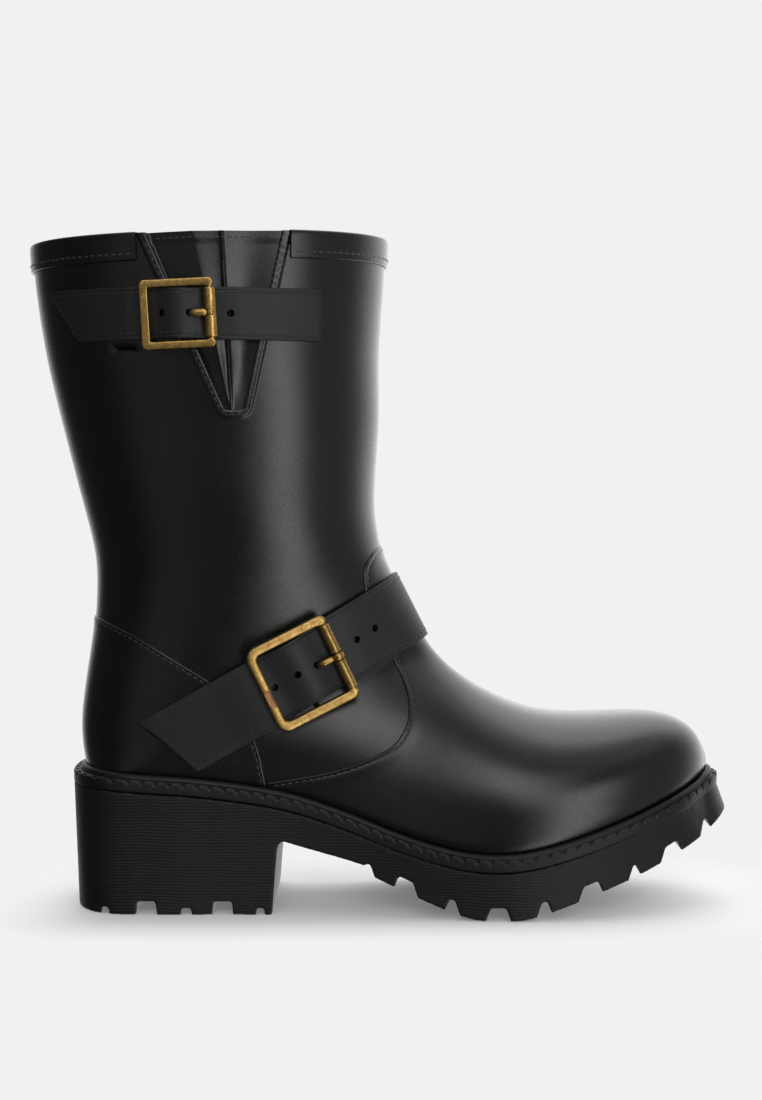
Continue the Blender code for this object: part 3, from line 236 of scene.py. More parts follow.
def tube(rings, closed=False):
    m = len(rings[0])
    points = [tuple(p) for r in rings for p in r]
    n = len(rings)
    faces = []
    for i in range(n if closed else n - 1):
        a, b = i * m, ((i + 1) % n) * m
        for j in range(m):
            k = (j + 1) % m
            faces.append((a + j, a + k, b + k, b + j))
    if not closed:
        faces.append(tuple(range(m)))
        faces.append(tuple((n - 1) * m + j for j in range(m))[::-1])
    return points, faces


def merge(parts):
    points, faces = [], []
    for p, f in parts:
        base = len(points)
        points += list(p)
        faces += [tuple(base + i for i in q) for q in f]
    return points, faces


def curve_through(points, step):
    """A smooth line through control points, with samples an even step apart."""
    pts = np.array(points, float)
    fine = np.array([smooth(pts, u) for u in np.linspace(0, len(pts) - 1, (len(pts) - 1) * 24 + 1)])
    d = np.concatenate([[0], np.cumsum(np.linalg.norm(np.diff(fine, axis=0), axis=1))])
    n = max(2, int(round(d[-1] / step)))
    at = np.linspace(0, d[-1], n + 1)
    return np.stack([np.interp(at, d, fine[:, k]) for k in range(fine.shape[1])], 1)


def even(points, step, offset=0.0):
    """Points an even step apart along a 3-D polyline, each with the line's direction."""
    pts = np.array(points, float)
    d = np.concatenate([[0], np.cumsum(np.linalg.norm(np.diff(pts, axis=0), axis=1))])
    n = max(1, int((d[-1] - offset) / step))
    at = offset + (d[-1] - offset - n * step) / 2 + np.arange(n + 1) * step
    pos = np.stack([np.interp(at, d, pts[:, k]) for k in range(3)], 1)
    ahead = np.stack([np.interp(at + 0.4, d, pts[:, k]) for k in range(3)], 1)
    back = np.stack([np.interp(at - 0.4, d, pts[:, k]) for k in range(3)], 1)
    t = ahead - back
    t /= np.linalg.norm(t, axis=1, keepdims=True) + 1e-12
    return pos, t


def stitches(places, length, width, height, sink=0.25, around=8, rows=5):
    """Moulded stitches: small rice-grain lumps, each (place, direction, normal)."""
    parts = []
    for p, t, n in places:
        t, n = np.array(t, float), np.array(n, float)
        t = t - n * np.dot(t, n)
        t /= np.linalg.norm(t) + 1e-12
        b = np.cross(n, t)
        c = np.array(p, float) - n * height * sink
        rings = []
        for i in range(1, rows):
            a = math.pi * i / rows
            r = math.sin(a) ** 0.75
            x = -math.cos(a) * length / 2
            rings.append([c + t * x + b * (width / 2 * r * math.cos(q)) + n * (height * r * math.sin(q)) for q in np.linspace(0, 2 * math.pi, around, endpoint=False)])
        m = around
        pts = [c - t * length / 2] + [v for r in rings for v in r] + [c + t * length / 2]
        faces = [(0, 1 + (j + 1) % m, 1 + j) for j in range(m)]
        for i in range(len(rings) - 1):
            for j in range(m):
                k = (j + 1) % m
                faces.append((1 + i * m + j, 1 + i * m + k, 1 + (i + 1) * m + k, 1 + (i + 1) * m + j))
        last = 1 + (len(rings) - 1) * m
        faces += [(last + j, last + (j + 1) % m, len(pts) - 1) for j in range(m)]
        parts.append((pts, faces))
    return merge(parts)


# ---------------------------------------------------------------- materials
def nodes_of(name):
    m = bpy.data.materials.new(name)
    m.use_nodes = True
    nt = m.node_tree
    return m, nt, nt.nodes["Principled BSDF"]


def noise(nt, coords, scale, detail=4.0, rough=0.55, stretch=None, distortion=0.0):
    src = coords
    if stretch:
        mp = nt.nodes.new("ShaderNodeMapping")
        mp.inputs["Scale"].default_value = stretch
        nt.links.new(coords, mp.inputs["Vector"])
        src = mp.outputs["Vector"]
    n = nt.nodes.new("ShaderNodeTexNoise")
    n.inputs["Scale"].default_value = scale
    n.inputs["Detail"].default_value = detail
    n.inputs["Roughness"].default_value = rough
    n.inputs["Distortion"].default_value = distortion
    nt.links.new(src, n.inputs["Vector"])
    return n.outputs["Fac"]


def ramp(nt, fac, stops):
    r = nt.nodes.new("ShaderNodeValToRGB")
    els = r.color_ramp.elements
    while len(els) < len(stops):
        els.new(0.5)
    for e, (pos, col) in zip(els, stops):
        e.position = pos
        e.color = (*col, 1) if len(col) == 3 else col
    nt.links.new(fac, r.inputs["Fac"])
    return r.outputs["Color"]


def span(nt, fac, low, high, a=0.3, b=0.7):
    r = nt.nodes.new("ShaderNodeMapRange")
    r.inputs["From Min"].default_value = a
    r.inputs["From Max"].default_value = b
    r.inputs["To Min"].default_value = low
    r.inputs["To Max"].default_value = high
    nt.links.new(fac, r.inputs["Value"])
    return r.outputs["Result"]


def mixed(nt, fac, a, b, kind="MIX"):
    m = nt.nodes.new("ShaderNodeMix")
    m.data_type = "RGBA"
    m.blend_type = kind
    if isinstance(fac, (int, float)):
        m.inputs[0].default_value = fac
    else:
        nt.links.new(fac, m.inputs[0])
    for k, v in ((6, a), (7, b)):
        if isinstance(v, tuple):
            m.inputs[k].default_value = (*v, 1)
        else:
            nt.links.new(v, m.inputs[k])
    return m.outputs[2]


def bump(nt, height, strength, distance, before=None):
    b = nt.nodes.new("ShaderNodeBump")
    b.inputs["Strength"].default_value = strength
    b.inputs["Distance"].default_value = distance
    nt.links.new(height, b.inputs["Height"])
    if before is not None:
        nt.links.new(before, b.inputs["Normal"])
    return b.outputs["Normal"]


def maths(nt, op, a, b=None):
    m = nt.nodes.new("ShaderNodeMath")
    m.operation = op
    for k, v in ((0, a), (1, b)):
        if v is None:
            continue
        if isinstance(v, (int, float)):
            m.inputs[k].default_value = v
        else:
            nt.links.new(v, m.inputs[k])
    return m.outputs[0]


def coords(nt):
    return nt.nodes.new("ShaderNodeTexCoord").outputs["Object"]


def rubber(name, dark, light, rough, grain=0.10, speck=0.35, waves=0.10, gleam=0.5):
    """Moulded rubber: uneven bloom, fine pores, pale dust specks and a slightly wavy skin."""
    m, nt, p = nodes_of(name)
    c = coords(nt)
    cloud = noise(nt, c, 18, 5, 0.6)
    pores = noise(nt, c, 2600, 3, 0.6)
    dust = noise(nt, c, 1500, 2, 0.7)
    patch = noise(nt, c, 45, 3, 0.6)
    base = ramp(nt, cloud, [(0.25, dark), (0.75, light)])
    spots = span(nt, dust, 0.0, speck, 0.66, 0.80)
    where = span(nt, patch, 0.0, 1.0, 0.42, 0.66)
    base = mixed(nt, maths(nt, "MULTIPLY", spots, where), base, (0.16, 0.16, 0.165))
    nt.links.new(base, p.inputs["Base Color"])
    r = maths(nt, "ADD", span(nt, cloud, rough - 0.03, rough + 0.04), span(nt, pores, -0.05, 0.06))
    nt.links.new(r, p.inputs["Roughness"])
    p.inputs["Specular IOR Level"].default_value = gleam
    n1 = bump(nt, noise(nt, c, 55, 3, 0.5), waves, 0.0006)
    n2 = bump(nt, pores, grain, 0.00025, n1)
    nt.links.new(n2, p.inputs["Normal"])
    return m


def sole_rubber(name):
    """Matte sole rubber with fine level ridges on its sides; the ridge crests are painted lighter, a painted highlight.
    """
    m, nt, p = nodes_of(name)
    c = coords(nt)
    cloud = noise(nt, c, 24, 5, 0.6)
    pores = noise(nt, c, 1900, 3, 0.6)
    sep = nt.nodes.new("ShaderNodeSeparateXYZ")
    nt.links.new(c, sep.inputs[0])
    wobble = span(nt, noise(nt, c, 30, 3, 0.5), -0.0006, 0.0006)
    z = maths(nt, "ADD", sep.outputs[2], wobble)
    lines = maths(nt, "SINE", maths(nt, "MULTIPLY", z, 2 * math.pi / 0.00125))
    broken = span(nt, noise(nt, c, 260, 2, 0.6, (1, 1, 5)), 0.15, 1.0, 0.35, 0.65)
    lines = maths(nt, "MULTIPLY", lines, broken)
    base = ramp(nt, cloud, [(0.25, (0.0026, 0.0026, 0.0026)), (0.75, (0.0056, 0.0056, 0.0055))])
    # painted highlight: the crests of the level ridges get a lighter grey
    base = mixed(nt, span(nt, lines, 0.0, 0.55, 0.2, 1.0), base, (0.0115, 0.0115, 0.0112))
    scuff = span(nt, noise(nt, c, 700, 3, 0.7), 0.0, 0.5, 0.64, 0.78)
    base = mixed(nt, scuff, base, (0.034, 0.034, 0.033))
    nt.links.new(base, p.inputs["Base Color"])
    nt.links.new(span(nt, cloud, 0.44, 0.60), p.inputs["Roughness"])
    p.inputs["Specular IOR Level"].default_value = 0.26
    n1 = bump(nt, lines, 0.36, 0.00018)
    n2 = bump(nt, pores, 0.25, 0.0003, n1)
    nt.links.new(n2, p.inputs["Normal"])
    return m


def brass(name, stretch=(1, 1, 1), dim=1.0):
    """Antique brass: dark patina in patches, brushed bright metal where it is worn."""
    m, nt, p = nodes_of(name)
    c = coords(nt)
    cloud = noise(nt, c, 320, 5, 0.65)
    brush = noise(nt, c, 900, 4, 0.7, stretch, 0.4)
    pits = noise(nt, c, 2400, 2, 0.6)
    def tone(r, g, b):
        return (r * dim, g * dim, b * dim)

    base = ramp(nt, cloud, [(0.24, tone(0.22, 0.115, 0.028)), (0.45, tone(0.50, 0.300, 0.084)), (0.72, tone(0.72, 0.470, 0.165))])
    base = mixed(nt, span(nt, brush, 0.0, 0.60, 0.44, 0.74), base, tone(0.86, 0.600, 0.235))
    base = mixed(nt, span(nt, pits, 0.65, 0.0, 0.30, 0.44), base, tone(0.10, 0.054, 0.018))
    nt.links.new(base, p.inputs["Base Color"])
    p.inputs["Metallic"].default_value = 1.0
    nt.links.new(maths(nt, "ADD", span(nt, cloud, 0.38, 0.24), span(nt, brush, -0.05, 0.10)), p.inputs["Roughness"])
    n1 = bump(nt, brush, 0.25, 0.00018)
    n2 = bump(nt, cloud, 0.22, 0.0003, n1)
    nt.links.new(n2, p.inputs["Normal"])
    return m


def textile(name, a, b, pitch=0.0012):
    """Knitted cloth: rows of loops with fuzz between them."""
    m, nt, p = nodes_of(name)
    c = coords(nt)
    sep = nt.nodes.new("ShaderNodeSeparateXYZ")
    nt.links.new(c, sep.inputs[0])
    k = 2 * math.pi / pitch
    wob = span(nt, noise(nt, c, 90, 2, 0.5), -0.0004, 0.0004)
    u = maths(nt, "SINE", maths(nt, "MULTIPLY", maths(nt, "ADD", maths(nt, "ADD", sep.outputs[0], sep.outputs[1]), wob), k))
    v = maths(nt, "SINE", maths(nt, "MULTIPLY", maths(nt, "ADD", sep.outputs[2], wob), k * 1.3))
    w = maths(nt, "MULTIPLY", u, v)
    fuzz = noise(nt, c, 1500, 3, 0.7)
    base = mixed(nt, span(nt, w, 0.0, 1.0, -0.8, 0.8), a, b)
    base = mixed(nt, span(nt, fuzz, 0.0, 0.5, 0.45, 0.75), base, tuple(min(1, q * 1.8) for q in b))
    nt.links.new(base, p.inputs["Base Color"])
    nt.links.new(span(nt, fuzz, 0.85, 0.98), p.inputs["Roughness"])
    p.inputs["Sheen Weight"].default_value = 0.25
    p.inputs["Sheen Roughness"].default_value = 0.5
    nt.links.new(bump(nt, fuzz, 0.3, 0.0003, bump(nt, w, 0.6, 0.0003)), p.inputs["Normal"])
    return m


def plain(name, a, b, rough, metal=0.0, scale=120, stretch=None):
    m, nt, p = nodes_of(name)
    c = coords(nt)
    f = noise(nt, c, scale, 5, 0.6, stretch)
    nt.links.new(ramp(nt, f, [(0.3, a), (0.7, b)]), p.inputs["Base Color"])
    nt.links.new(span(nt, f, rough - 0.06, rough + 0.06), p.inputs["Roughness"])
    p.inputs["Metallic"].default_value = metal
    nt.links.new(bump(nt, noise(nt, c, scale * 8, 3, 0.6, stretch), 0.2, 0.0003), p.inputs["Normal"])
    return m


UPPER_MAT = rubber("upper_black_rubber", (0.0016, 0.0016, 0.0018), (0.0034, 0.0034, 0.0037), 0.240, 0.20, 0.20, 0.03)
STRAP_MAT = rubber("strap_black_rubber", (0.0080, 0.0080, 0.0087), (0.0112, 0.0112, 0.0120), 0.50, 0.18, 0.10, 0.05, 0.34)
# The seam stitches are the upper's own black rubber, painted several times lighter as a painted highlight where they
# catch the light.
LIT_SEAM_STITCH_MAT = rubber("seam_stitch_rubber_painted_highlight", (0.022, 0.022, 0.023), (0.036, 0.036, 0.038), 0.36, 0.12, 0.15, 0.0)
STRAP_TRIM_MAT = rubber("strap_stitch_black_rubber", (0.0100, 0.0100, 0.0107), (0.0150, 0.0150, 0.0160), 0.46, 0.12, 0.12, 0.0, 0.4)
SOLE_MAT = sole_rubber("sole_black_rubber")
WELT_MAT = rubber("welt_black_rubber", (0.0020, 0.0020, 0.0022), (0.0046, 0.0046, 0.0049), 0.46, 0.30, 0.22, 0.06, 0.30)
BRASS_MAT = brass("antique_brass", dim=0.84)
ANKLE_BRASS_MAT = brass("ankle_antique_brass", dim=0.56)
INLAY_MAT = plain("worn_copper_inlay", (0.16, 0.075, 0.035), (0.34, 0.185, 0.09), 0.42, 1.0, 700, (1, 4, 1))
LINING_MAT = textile("knit_lining", (0.018, 0.018, 0.020), (0.050, 0.050, 0.054))
BED_MAT = textile("footbed_cloth", (0.020, 0.020, 0.022), (0.060, 0.060, 0.064), 0.0016)
STEEL_MAT = plain("shank_steel_finish", (0.42, 0.43, 0.45), (0.60, 0.61, 0.63), 0.33, 1.0, 300, (1, 14, 1))
BOARD_MAT = plain("fibre_board", (0.30, 0.23, 0.15), (0.46, 0.37, 0.26), 0.86, 0.0, 420)
CORE_MAT = plain("core_plastic", (0.05, 0.05, 0.055), (0.11, 0.11, 0.12), 0.7, 0.0, 200)


# ---------------------------------------------------------------- the frame's own coarse body, so that straps and buckles land where the frame has them
def coarse_body():
    last = len(LAST) - 1
    grid = np.array([ring(last * k / 27, 28, True) for k in range(28)])
    return tree_of(grid.reshape(-1, 3), grid_faces(28, 28))


BODY = coarse_body()


# ---------------------------------------------------------------- fine surface of the upper
def spline_rows(rows):
    """A curve through the rows with even curvature (natural cubic), as a function of the row number."""
    y = np.asarray(rows, float)
    n = len(y)
    a = np.zeros((n, n))
    b = np.zeros_like(y)
    a[0, 0] = a[-1, -1] = 1
    for i in range(1, n - 1):
        a[i, i - 1], a[i, i], a[i, i + 1] = 1, 4, 1
        b[i] = 6 * (y[i + 1] - 2 * y[i] + y[i - 1])
    m = np.linalg.solve(a, b)

    def at(u):
        i = min(int(u), n - 2)
        f = u - i
        g = 1 - f
        return y[i] * g + y[i + 1] * f + ((g**3 - g) * m[i] + (f**3 - f) * m[i + 1]) / 6

    return at


SPLINE = spline_rows(LAST)
AROUND = 264


def fine_ring(u):
    bx, bz, fx, fz, wl, wm, yc, tm, n1, n2 = SPLINE(u)
    if u > 13:
        f = float(ease(13, 15, u)) * (1 - float(ease(200, 219, bx)))
        bz = (welt_top(bx) - 3.0) * f + bz * (1 - f)
    a = np.linspace(0, math.pi, 721)
    s, c = np.sin(a), np.abs(np.cos(a))
    low = a <= math.pi / 2
    t = np.where(low, tm * (1 - c ** (2 / n1)), tm + (1 - tm) * c ** (2 / n2))
    w1 = np.where(low, s ** (2 / n1), s ** (2 / n2))
    span_ = math.hypot(fx - bx, fz - bz)
    out = []
    for side, w in ((-1, wl), (1, wm)):
        y = w * w1
        d = np.concatenate([[0], np.cumsum(np.hypot(np.diff(t) * span_, np.diff(y)))])
        at = np.linspace(0, d[-1], AROUND // 2 + 1)
        tt, yy = np.interp(at, d, t), np.interp(at, d, y)
        if side > 0:
            tt, yy = tt[::-1], yy[::-1]
        out.append(np.stack([bx + tt * (fx - bx), yc + side * yy, bz + tt * (fz - bz)], 1)[:-1])
    return np.concatenate(out)


def fine_grid():
    us = []
    for i in range(len(LAST) - 1):
        n = 18 if i < 5 else 13 if i < 11 else 9 if i < 14 else 17 if i < 20 else 12 if i < 26 else 7
        us += [i + k / n for k in range(n)]
    rings = [fine_ring(u) for u in us + [len(LAST) - 1]]
    end = rings[-1]
    mid = end.mean(axis=0)
    for q in (0.9, 0.78, 0.64, 0.48, 0.32, 0.16, 0.04):
        p = mid + (end - mid) * q
        p[:, 0] += 0.95 * (1 - q * q)
        rings.append(p)
    return np.array(rings)


GRID = fine_grid()
ROWS = len(GRID)
for _ in range(2):      # takes the last unevenness out of the seams between table rows
    core = GRID.copy()
    core[1:-8] = (GRID[:-9] + 2 * GRID[1:-8] + GRID[2:-7]) / 4
    core[0] = GRID[0]
    GRID = core
NORMAL = grid_normals(GRID)
FINE = tree_of(GRID.reshape(-1, 3), grid_faces(ROWS, AROUND))


def cubic(values, gi, gj):
    """Smooth values between the points of the fine grid; gj wraps round."""
    gi = np.clip(gi, 0, ROWS - 1.000001)
    i, j = np.floor(gi).astype(int), np.floor(gj).astype(int)
    fi, fj = gi - i, gj - j

    def weights(f):
        return (-0.5 * f + f * f - 0.5 * f**3, 1 - 2.5 * f * f + 1.5 * f**3, 0.5 * f + 2 * f * f - 1.5 * f**3, -0.5 * f * f + 0.5 * f**3)

    wi, wj = weights(fi), weights(fj)
    out = 0
    for a in range(4):
        ii = np.clip(i + a - 1, 0, ROWS - 1)
        for b in range(4):
            out = out + values[ii, (j + b - 1) % AROUND] * (wi[a] * wj[b])[..., None]
    return out


def surface(gi, gj):
    p = cubic(GRID, gi, gj)
    n = cubic(NORMAL, gi, gj)
    return p, n / (np.linalg.norm(n, axis=-1, keepdims=True) + 1e-12)


# ---------------------------------------------------------------- distances to the seams, in side view
def inside(poly, x, z):
    poly = np.asarray(poly)
    res = np.zeros(x.shape, bool)
    for (x0, z0), (x1, z1) in zip(poly, np.roll(poly, -1, axis=0)):
        if z0 == z1:
            continue
        hit = ((z0 > z) != (z1 > z)) & (x < (x1 - x0) * (z - z0) / (z1 - z0) + x0)
        res ^= hit
    return res


def signed(line, poly, x, z):
    """Distance to the line, positive inside the closed outline."""
    best = np.full(x.shape, 1e9)
    for (x0, z0), (x1, z1) in zip(line[:-1], line[1:]):
        dx, dz = x1 - x0, z1 - z0
        t = np.clip(((x - x0) * dx + (z - z0) * dz) / (dx * dx + dz * dz), 0, 1)
        best = np.minimum(best, (x - x0 - t * dx) ** 2 + (z - z0 - t * dz) ** 2)
    return np.sqrt(best) * np.where(inside(poly, x, z), 1, -1)


COUNTER_LINE = [tuple(p) for p in curve_through(COUNTER_SEAM[:-1], 1.6)] + [(40.2, 46.0), (40.2, 0.0)]
VAMP_LINE = [tuple(p) for p in curve_through(VAMP_SEAM[:-1], 1.6)] + [(40.2, 46.0), (40.2, 0.0)]
COUNTER_POLY = COUNTER_LINE + [(-90.0, 0.0), (-90.0, 121.6)]
VAMP_POLY = VAMP_LINE + [(270.0, 0.0), (270.0, 153.6)]
(g0, g1), (g2, g3), gz = GUSSET["left"], GUSSET["right"], GUSSET["foot"]
RISE = (300.0 - gz) / (RIM - gz)
V_LINE = [(g1 + (g0 - g1) * RISE, 300.0), (g1 + 0.6, gz + 1.2), (g1 + 1.5, gz + 0.25), (g1 + 2.6, gz), (g3 - 2.2, gz), (g3 - 1.1, gz + 0.3), (g3 - 0.3, gz + 1.4), (g3 + (g2 - g3) * RISE, 300.0)]


def d_counter(p):
    return signed(COUNTER_LINE, COUNTER_POLY, p[..., 0], p[..., 2])


def d_vamp(p):
    return signed(VAMP_LINE, VAMP_POLY, p[..., 0], p[..., 2])


def d_gusset(p):
    d = signed(V_LINE, V_LINE, p[..., 0], p[..., 2])
    return np.where((p[..., 1] < 0) & (p[..., 2] > 190), d, -99.0)


# ---------------------------------------------------------------- lines of equal value on the grid
def level_lines(values, level, least=12):
    """3-D polylines on the fine grid where the values cross the level, longest first."""
    v = values - level
    v = np.where(v == 0, 1e-9, v)
    sign = v > 0
    nxt = np.roll(sign, -1, axis=1)
    cells = np.argwhere((sign[:-1] != nxt[:-1]) | (sign[:-1] != sign[1:]) | (nxt[:-1] != nxt[1:]) | (sign[1:] != nxt[1:]))
    where, links = {}, {}

    def cross(a, b):
        key = (a, b) if a < b else (b, a)
        if key not in where:
            f = v[a] / (v[a] - v[b])
            where[key] = GRID[a] * (1 - f) + GRID[b] * f
        return key

    for i, j in cells:
        k = (j + 1) % AROUND
        corners = [(int(i), int(j)), (int(i), int(k)), (int(i) + 1, int(k)), (int(i) + 1, int(j))]
        keys = [cross(a, b) for a, b in zip(corners, corners[1:] + corners[:1]) if sign[a] != sign[b]]
        if len(keys) == 2:
            links.setdefault(keys[0], []).append(keys[1])
            links.setdefault(keys[1], []).append(keys[0])
    lines, seen = [], set()
    starts = [k for k, n in links.items() if len(n) == 1] + list(links)
    for s in starts:
        if s in seen:
            continue
        path = [s]
        seen.add(s)
        while True:
            more = [k for k in links[path[-1]] if k not in seen]
            if not more:
                break
            path.append(more[0])
            seen.add(more[0])
        if len(path) >= least:
            lines.append(np.array([where[k] for k in path]))
    return sorted(lines, key=len, reverse=True)


def smooth_line(line, times=6):
    line = np.array(line)
    for _ in range(times):
        line[1:-1] = (line[:-2] + 2 * line[1:-1] + line[2:]) / 4
    return line


def on_skin(pos, t, lift=0.0):
    out = []
    for p, d in zip(pos, t):
        hit, n, _, _ = FINE.find_nearest(Vector(p))
        n = np.array(n)
        if np.dot(n, np.array(hit) - np.array([20.0 if hit.z > 110 else min(max(hit.x, 0), 200), 0.0, max(hit.z - 10, 60) if hit.z < 110 else hit.z])) < 0:
            n = -n
        out.append((np.array(hit) + n * lift, d, n))
    return out


# ---------------------------------------------------------------- upper panels
def refined_sheet(near, cuts=2):
    """The fine grid as a mesh with its faces split where near() says. Gives grid places and faces."""
    bm = bmesh.new()
    lay = bm.verts.layers.float_vector.new("place")
    ang = 2 * math.pi / AROUND
    vs = []
    for i in range(ROWS):
        for j in range(AROUND):
            v = bm.verts.new((0, 0, 0))
            v[lay] = (i, math.cos(j * ang), math.sin(j * ang))
            vs.append(v)
    quads = grid_faces(ROWS, AROUND)
    fs = [bm.faces.new([vs[k] for k in q]) for q in quads]
    chosen = near[:-1] | np.roll(near, -1, axis=1)[:-1] | near[1:] | np.roll(near, -1, axis=1)[1:]
    picked = np.nonzero(chosen.reshape(-1))[0]
    edges = {e for f in picked for e in fs[f].edges}
    bmesh.ops.subdivide_edges(bm, edges=list(edges), cuts=cuts, use_grid_fill=True)
    bm.verts.ensure_lookup_table()
    place = np.array([v[lay][:] for v in bm.verts])
    bm.verts.index_update()
    faces = [[v.index for v in f.verts] for f in bm.faces]
    bm.free()
    gi = place[:, 0]
    gj = (np.arctan2(place[:, 2], place[:, 1]) / ang) % AROUND
    return gi, gj, faces


def snap(pos, nor, faces, dist):
    """Slides the points next to the line dist = 0 onto it, along the surface, so that a panel's edge is clean."""
    d = dist(pos)
    pairs = set()
    for f in faces:
        s = [d[i] > 0 for i in f]
        if any(s) and not all(s):
            for a, b in zip(f, f[1:] + f[:1]):
                if (d[a] > 0) != (d[b] > 0):
                    pairs.add((min(a, b), max(a, b)))
    move = {a if abs(d[a]) <= abs(d[b]) else b for a, b in pairs}
    for _ in range(2):
        idx = np.array(sorted(move))
        if not len(idx):
            return pos
        p, n = pos[idx], nor[idx]
        e = 0.05
        dd = dist(p)
        g = np.stack([(dist(p + [e, 0, 0]) - dd) / e, np.zeros(len(idx)), (dist(p + [0, 0, e]) - dd) / e], 1)
        gt = g - n * (g * n).sum(1, keepdims=True)
        size = (gt**2).sum(1, keepdims=True)
        step = -dd[:, None] * gt / np.maximum(size, 0.05)
        far = np.linalg.norm(step, axis=1, keepdims=True)
        step *= np.minimum(1, 0.9 / np.maximum(far, 1e-9))
        pos[idx] = p + step
    return pos


def sheet_solid(pos, nor, faces, height, thick):
    """A closed panel: an outer face at height above the skin, an inner face thick below it, and its edge walls."""
    used = sorted({i for f in faces for i in f})
    index = {v: k for k, v in enumerate(used)}
    u = np.array(used)
    outer = pos[u] + nor[u] * height[u][:, None]
    inner = pos[u] + nor[u] * (height[u] - thick[u])[:, None]
    n = len(u)
    fo = [[index[i] for i in f] for f in faces]
    edges = {}
    for f in fo:
        for a, b in zip(f, f[1:] + f[:1]):
            edges[(a, b)] = edges.get((a, b), 0) + 1
    rim = [(a, b) for (a, b) in edges if (b, a) not in edges]
    walls = [(b, a, n + a, n + b) for a, b in rim]
    return np.concatenate([outer, inner]), fo + [[n + i for i in f[::-1]] for f in fo] + walls


DC, DV, DG = d_counter(GRID), d_vamp(GRID), d_gusset(GRID)
NEAR = ((DC > -1.6) & (DC < 3.0)) | ((DV > -1.6) & (DV < 3.0)) | ((DG > -4.6) & (DG < 1.2))
NEAR &= GRID[..., 2] > np.vectorize(welt_top)(GRID[..., 0]) - 1.5
GI, GJ, FACES = refined_sheet(NEAR)
SKIN_P, SKIN_N = surface(GI, GJ)
for field in (d_counter, d_vamp, d_gusset):
    SKIN_P = snap(SKIN_P, SKIN_N, FACES, field)
dc, dv, dg = d_counter(SKIN_P), d_vamp(SKIN_P), d_gusset(SKIN_P)
EPS = 0.02


def lip(d):
    """A panel's surface height against the distance from its edge."""
    return 0.16 + 0.34 * ease(0.0, 0.35, d) + 0.16 * np.exp(-(((d - 0.65) / 0.38) ** 2)) - 0.12 * np.exp(-(((d - 1.75) / 0.36) ** 2)) - 0.16 * ease(2.6, 7.0, d)


h_counter = lip(np.maximum(dc, 0))
h_vamp = lip(np.maximum(dv, 0))
tape = 0.62 * ease(-3.25, -2.85, dg) * (1 - 0.55 * ease(-0.35, 0.0, dg)) - 0.10 * np.exp(-(((dg + 1.5) / 0.3) ** 2))
h_shaft = -0.04 + np.where(dg > -6, tape, 0.0)

# a short moulded slot beside the calf buckle, just under the strap
sx, sz = SKIN_P[:, 0], SKIN_P[:, 2]
slot_d = np.hypot(np.maximum(np.abs(sx + 14.6) - 4.2, 0), sz - 229.7)
h_shaft = h_shaft - np.where(SKIN_P[:, 1] < 0, 1.5 * (1 - ease(0.55, 1.15, slot_d)), 0.0)

f_counter = [f for f in FACES if min(dc[i] for i in f) > -EPS]
f_vamp = [f for f in FACES if min(dv[i] for i in f) > -EPS and min(dc[i] for i in f) < EPS + 50 and max(dc[i] for i in f) < 0.6]
f_shaft = [f for f in FACES if max(dc[i] for i in f) < 2.4 and max(dv[i] for i in f) < 2.4 and max(dg[i] for i in f) < EPS]
piece("heel_counter_skin", *sheet_solid(SKIN_P, SKIN_N, f_counter, h_counter, 0.52 + 1.9 * ease(2.6, 4.2, dc)), UPPER_MAT, slot="upper_rubber", replaces=("heel_counter",), angle=50)
piece("vamp_skin", *sheet_solid(SKIN_P, SKIN_N, f_vamp, h_vamp, 0.52 + 1.9 * ease(2.6, 4.2, dv)), UPPER_MAT, slot="upper_rubber", replaces=("vamp",), angle=50)
piece("shaft_skin", *sheet_solid(SKIN_P, SKIN_N, f_shaft, h_shaft, np.full(len(SKIN_P), 2.3) + h_shaft), UPPER_MAT, slot="upper_rubber", replaces=("shaft",), angle=50)


# ---------------------------------------------------------------- moulded stitches of the upper
def above_welt(line, extra=3.6):
    keep = np.array([p[2] > welt_top(p[0]) + extra for p in line])
    runs, run = [], []
    for p, k in zip(line, keep):
        if k:
            run.append(p)
        elif run:
            runs.append(np.array(run))
            run = []
    if run:
        runs.append(np.array(run))
    return [r for r in runs if len(r) > 8]


def seam_stitches(values, level, lift, pitch=2.9, length=2.0, width=0.72, height=0.34, keep=None):
    places = []
    for line in level_lines(values, level):
        for run in above_welt(line):
            if keep is not None:
                run = np.array([p for p in run if keep(p)])
                if len(run) < 6:
                    continue
            pos, t = even(smooth_line(run), pitch)
            places += on_skin(pos, t, lift)
    return stitches(places, length, width, height)


piece("heel_counter_stitching", *seam_stitches(DC, 1.75, 0.36), LIT_SEAM_STITCH_MAT, slot="upper_rubber", angle=60)
piece("vamp_stitching", *seam_stitches(DV, 1.75, 0.36, keep=lambda p: p[0] > 42.5), LIT_SEAM_STITCH_MAT, slot="upper_rubber", angle=60)
piece("gusset_tape_stitching", *seam_stitches(DG, -1.5, 0.50, 3.0, 2.1, 0.75, 0.36, keep=lambda p: p[2] < 271.0), LIT_SEAM_STITCH_MAT, slot="upper_rubber", angle=60)


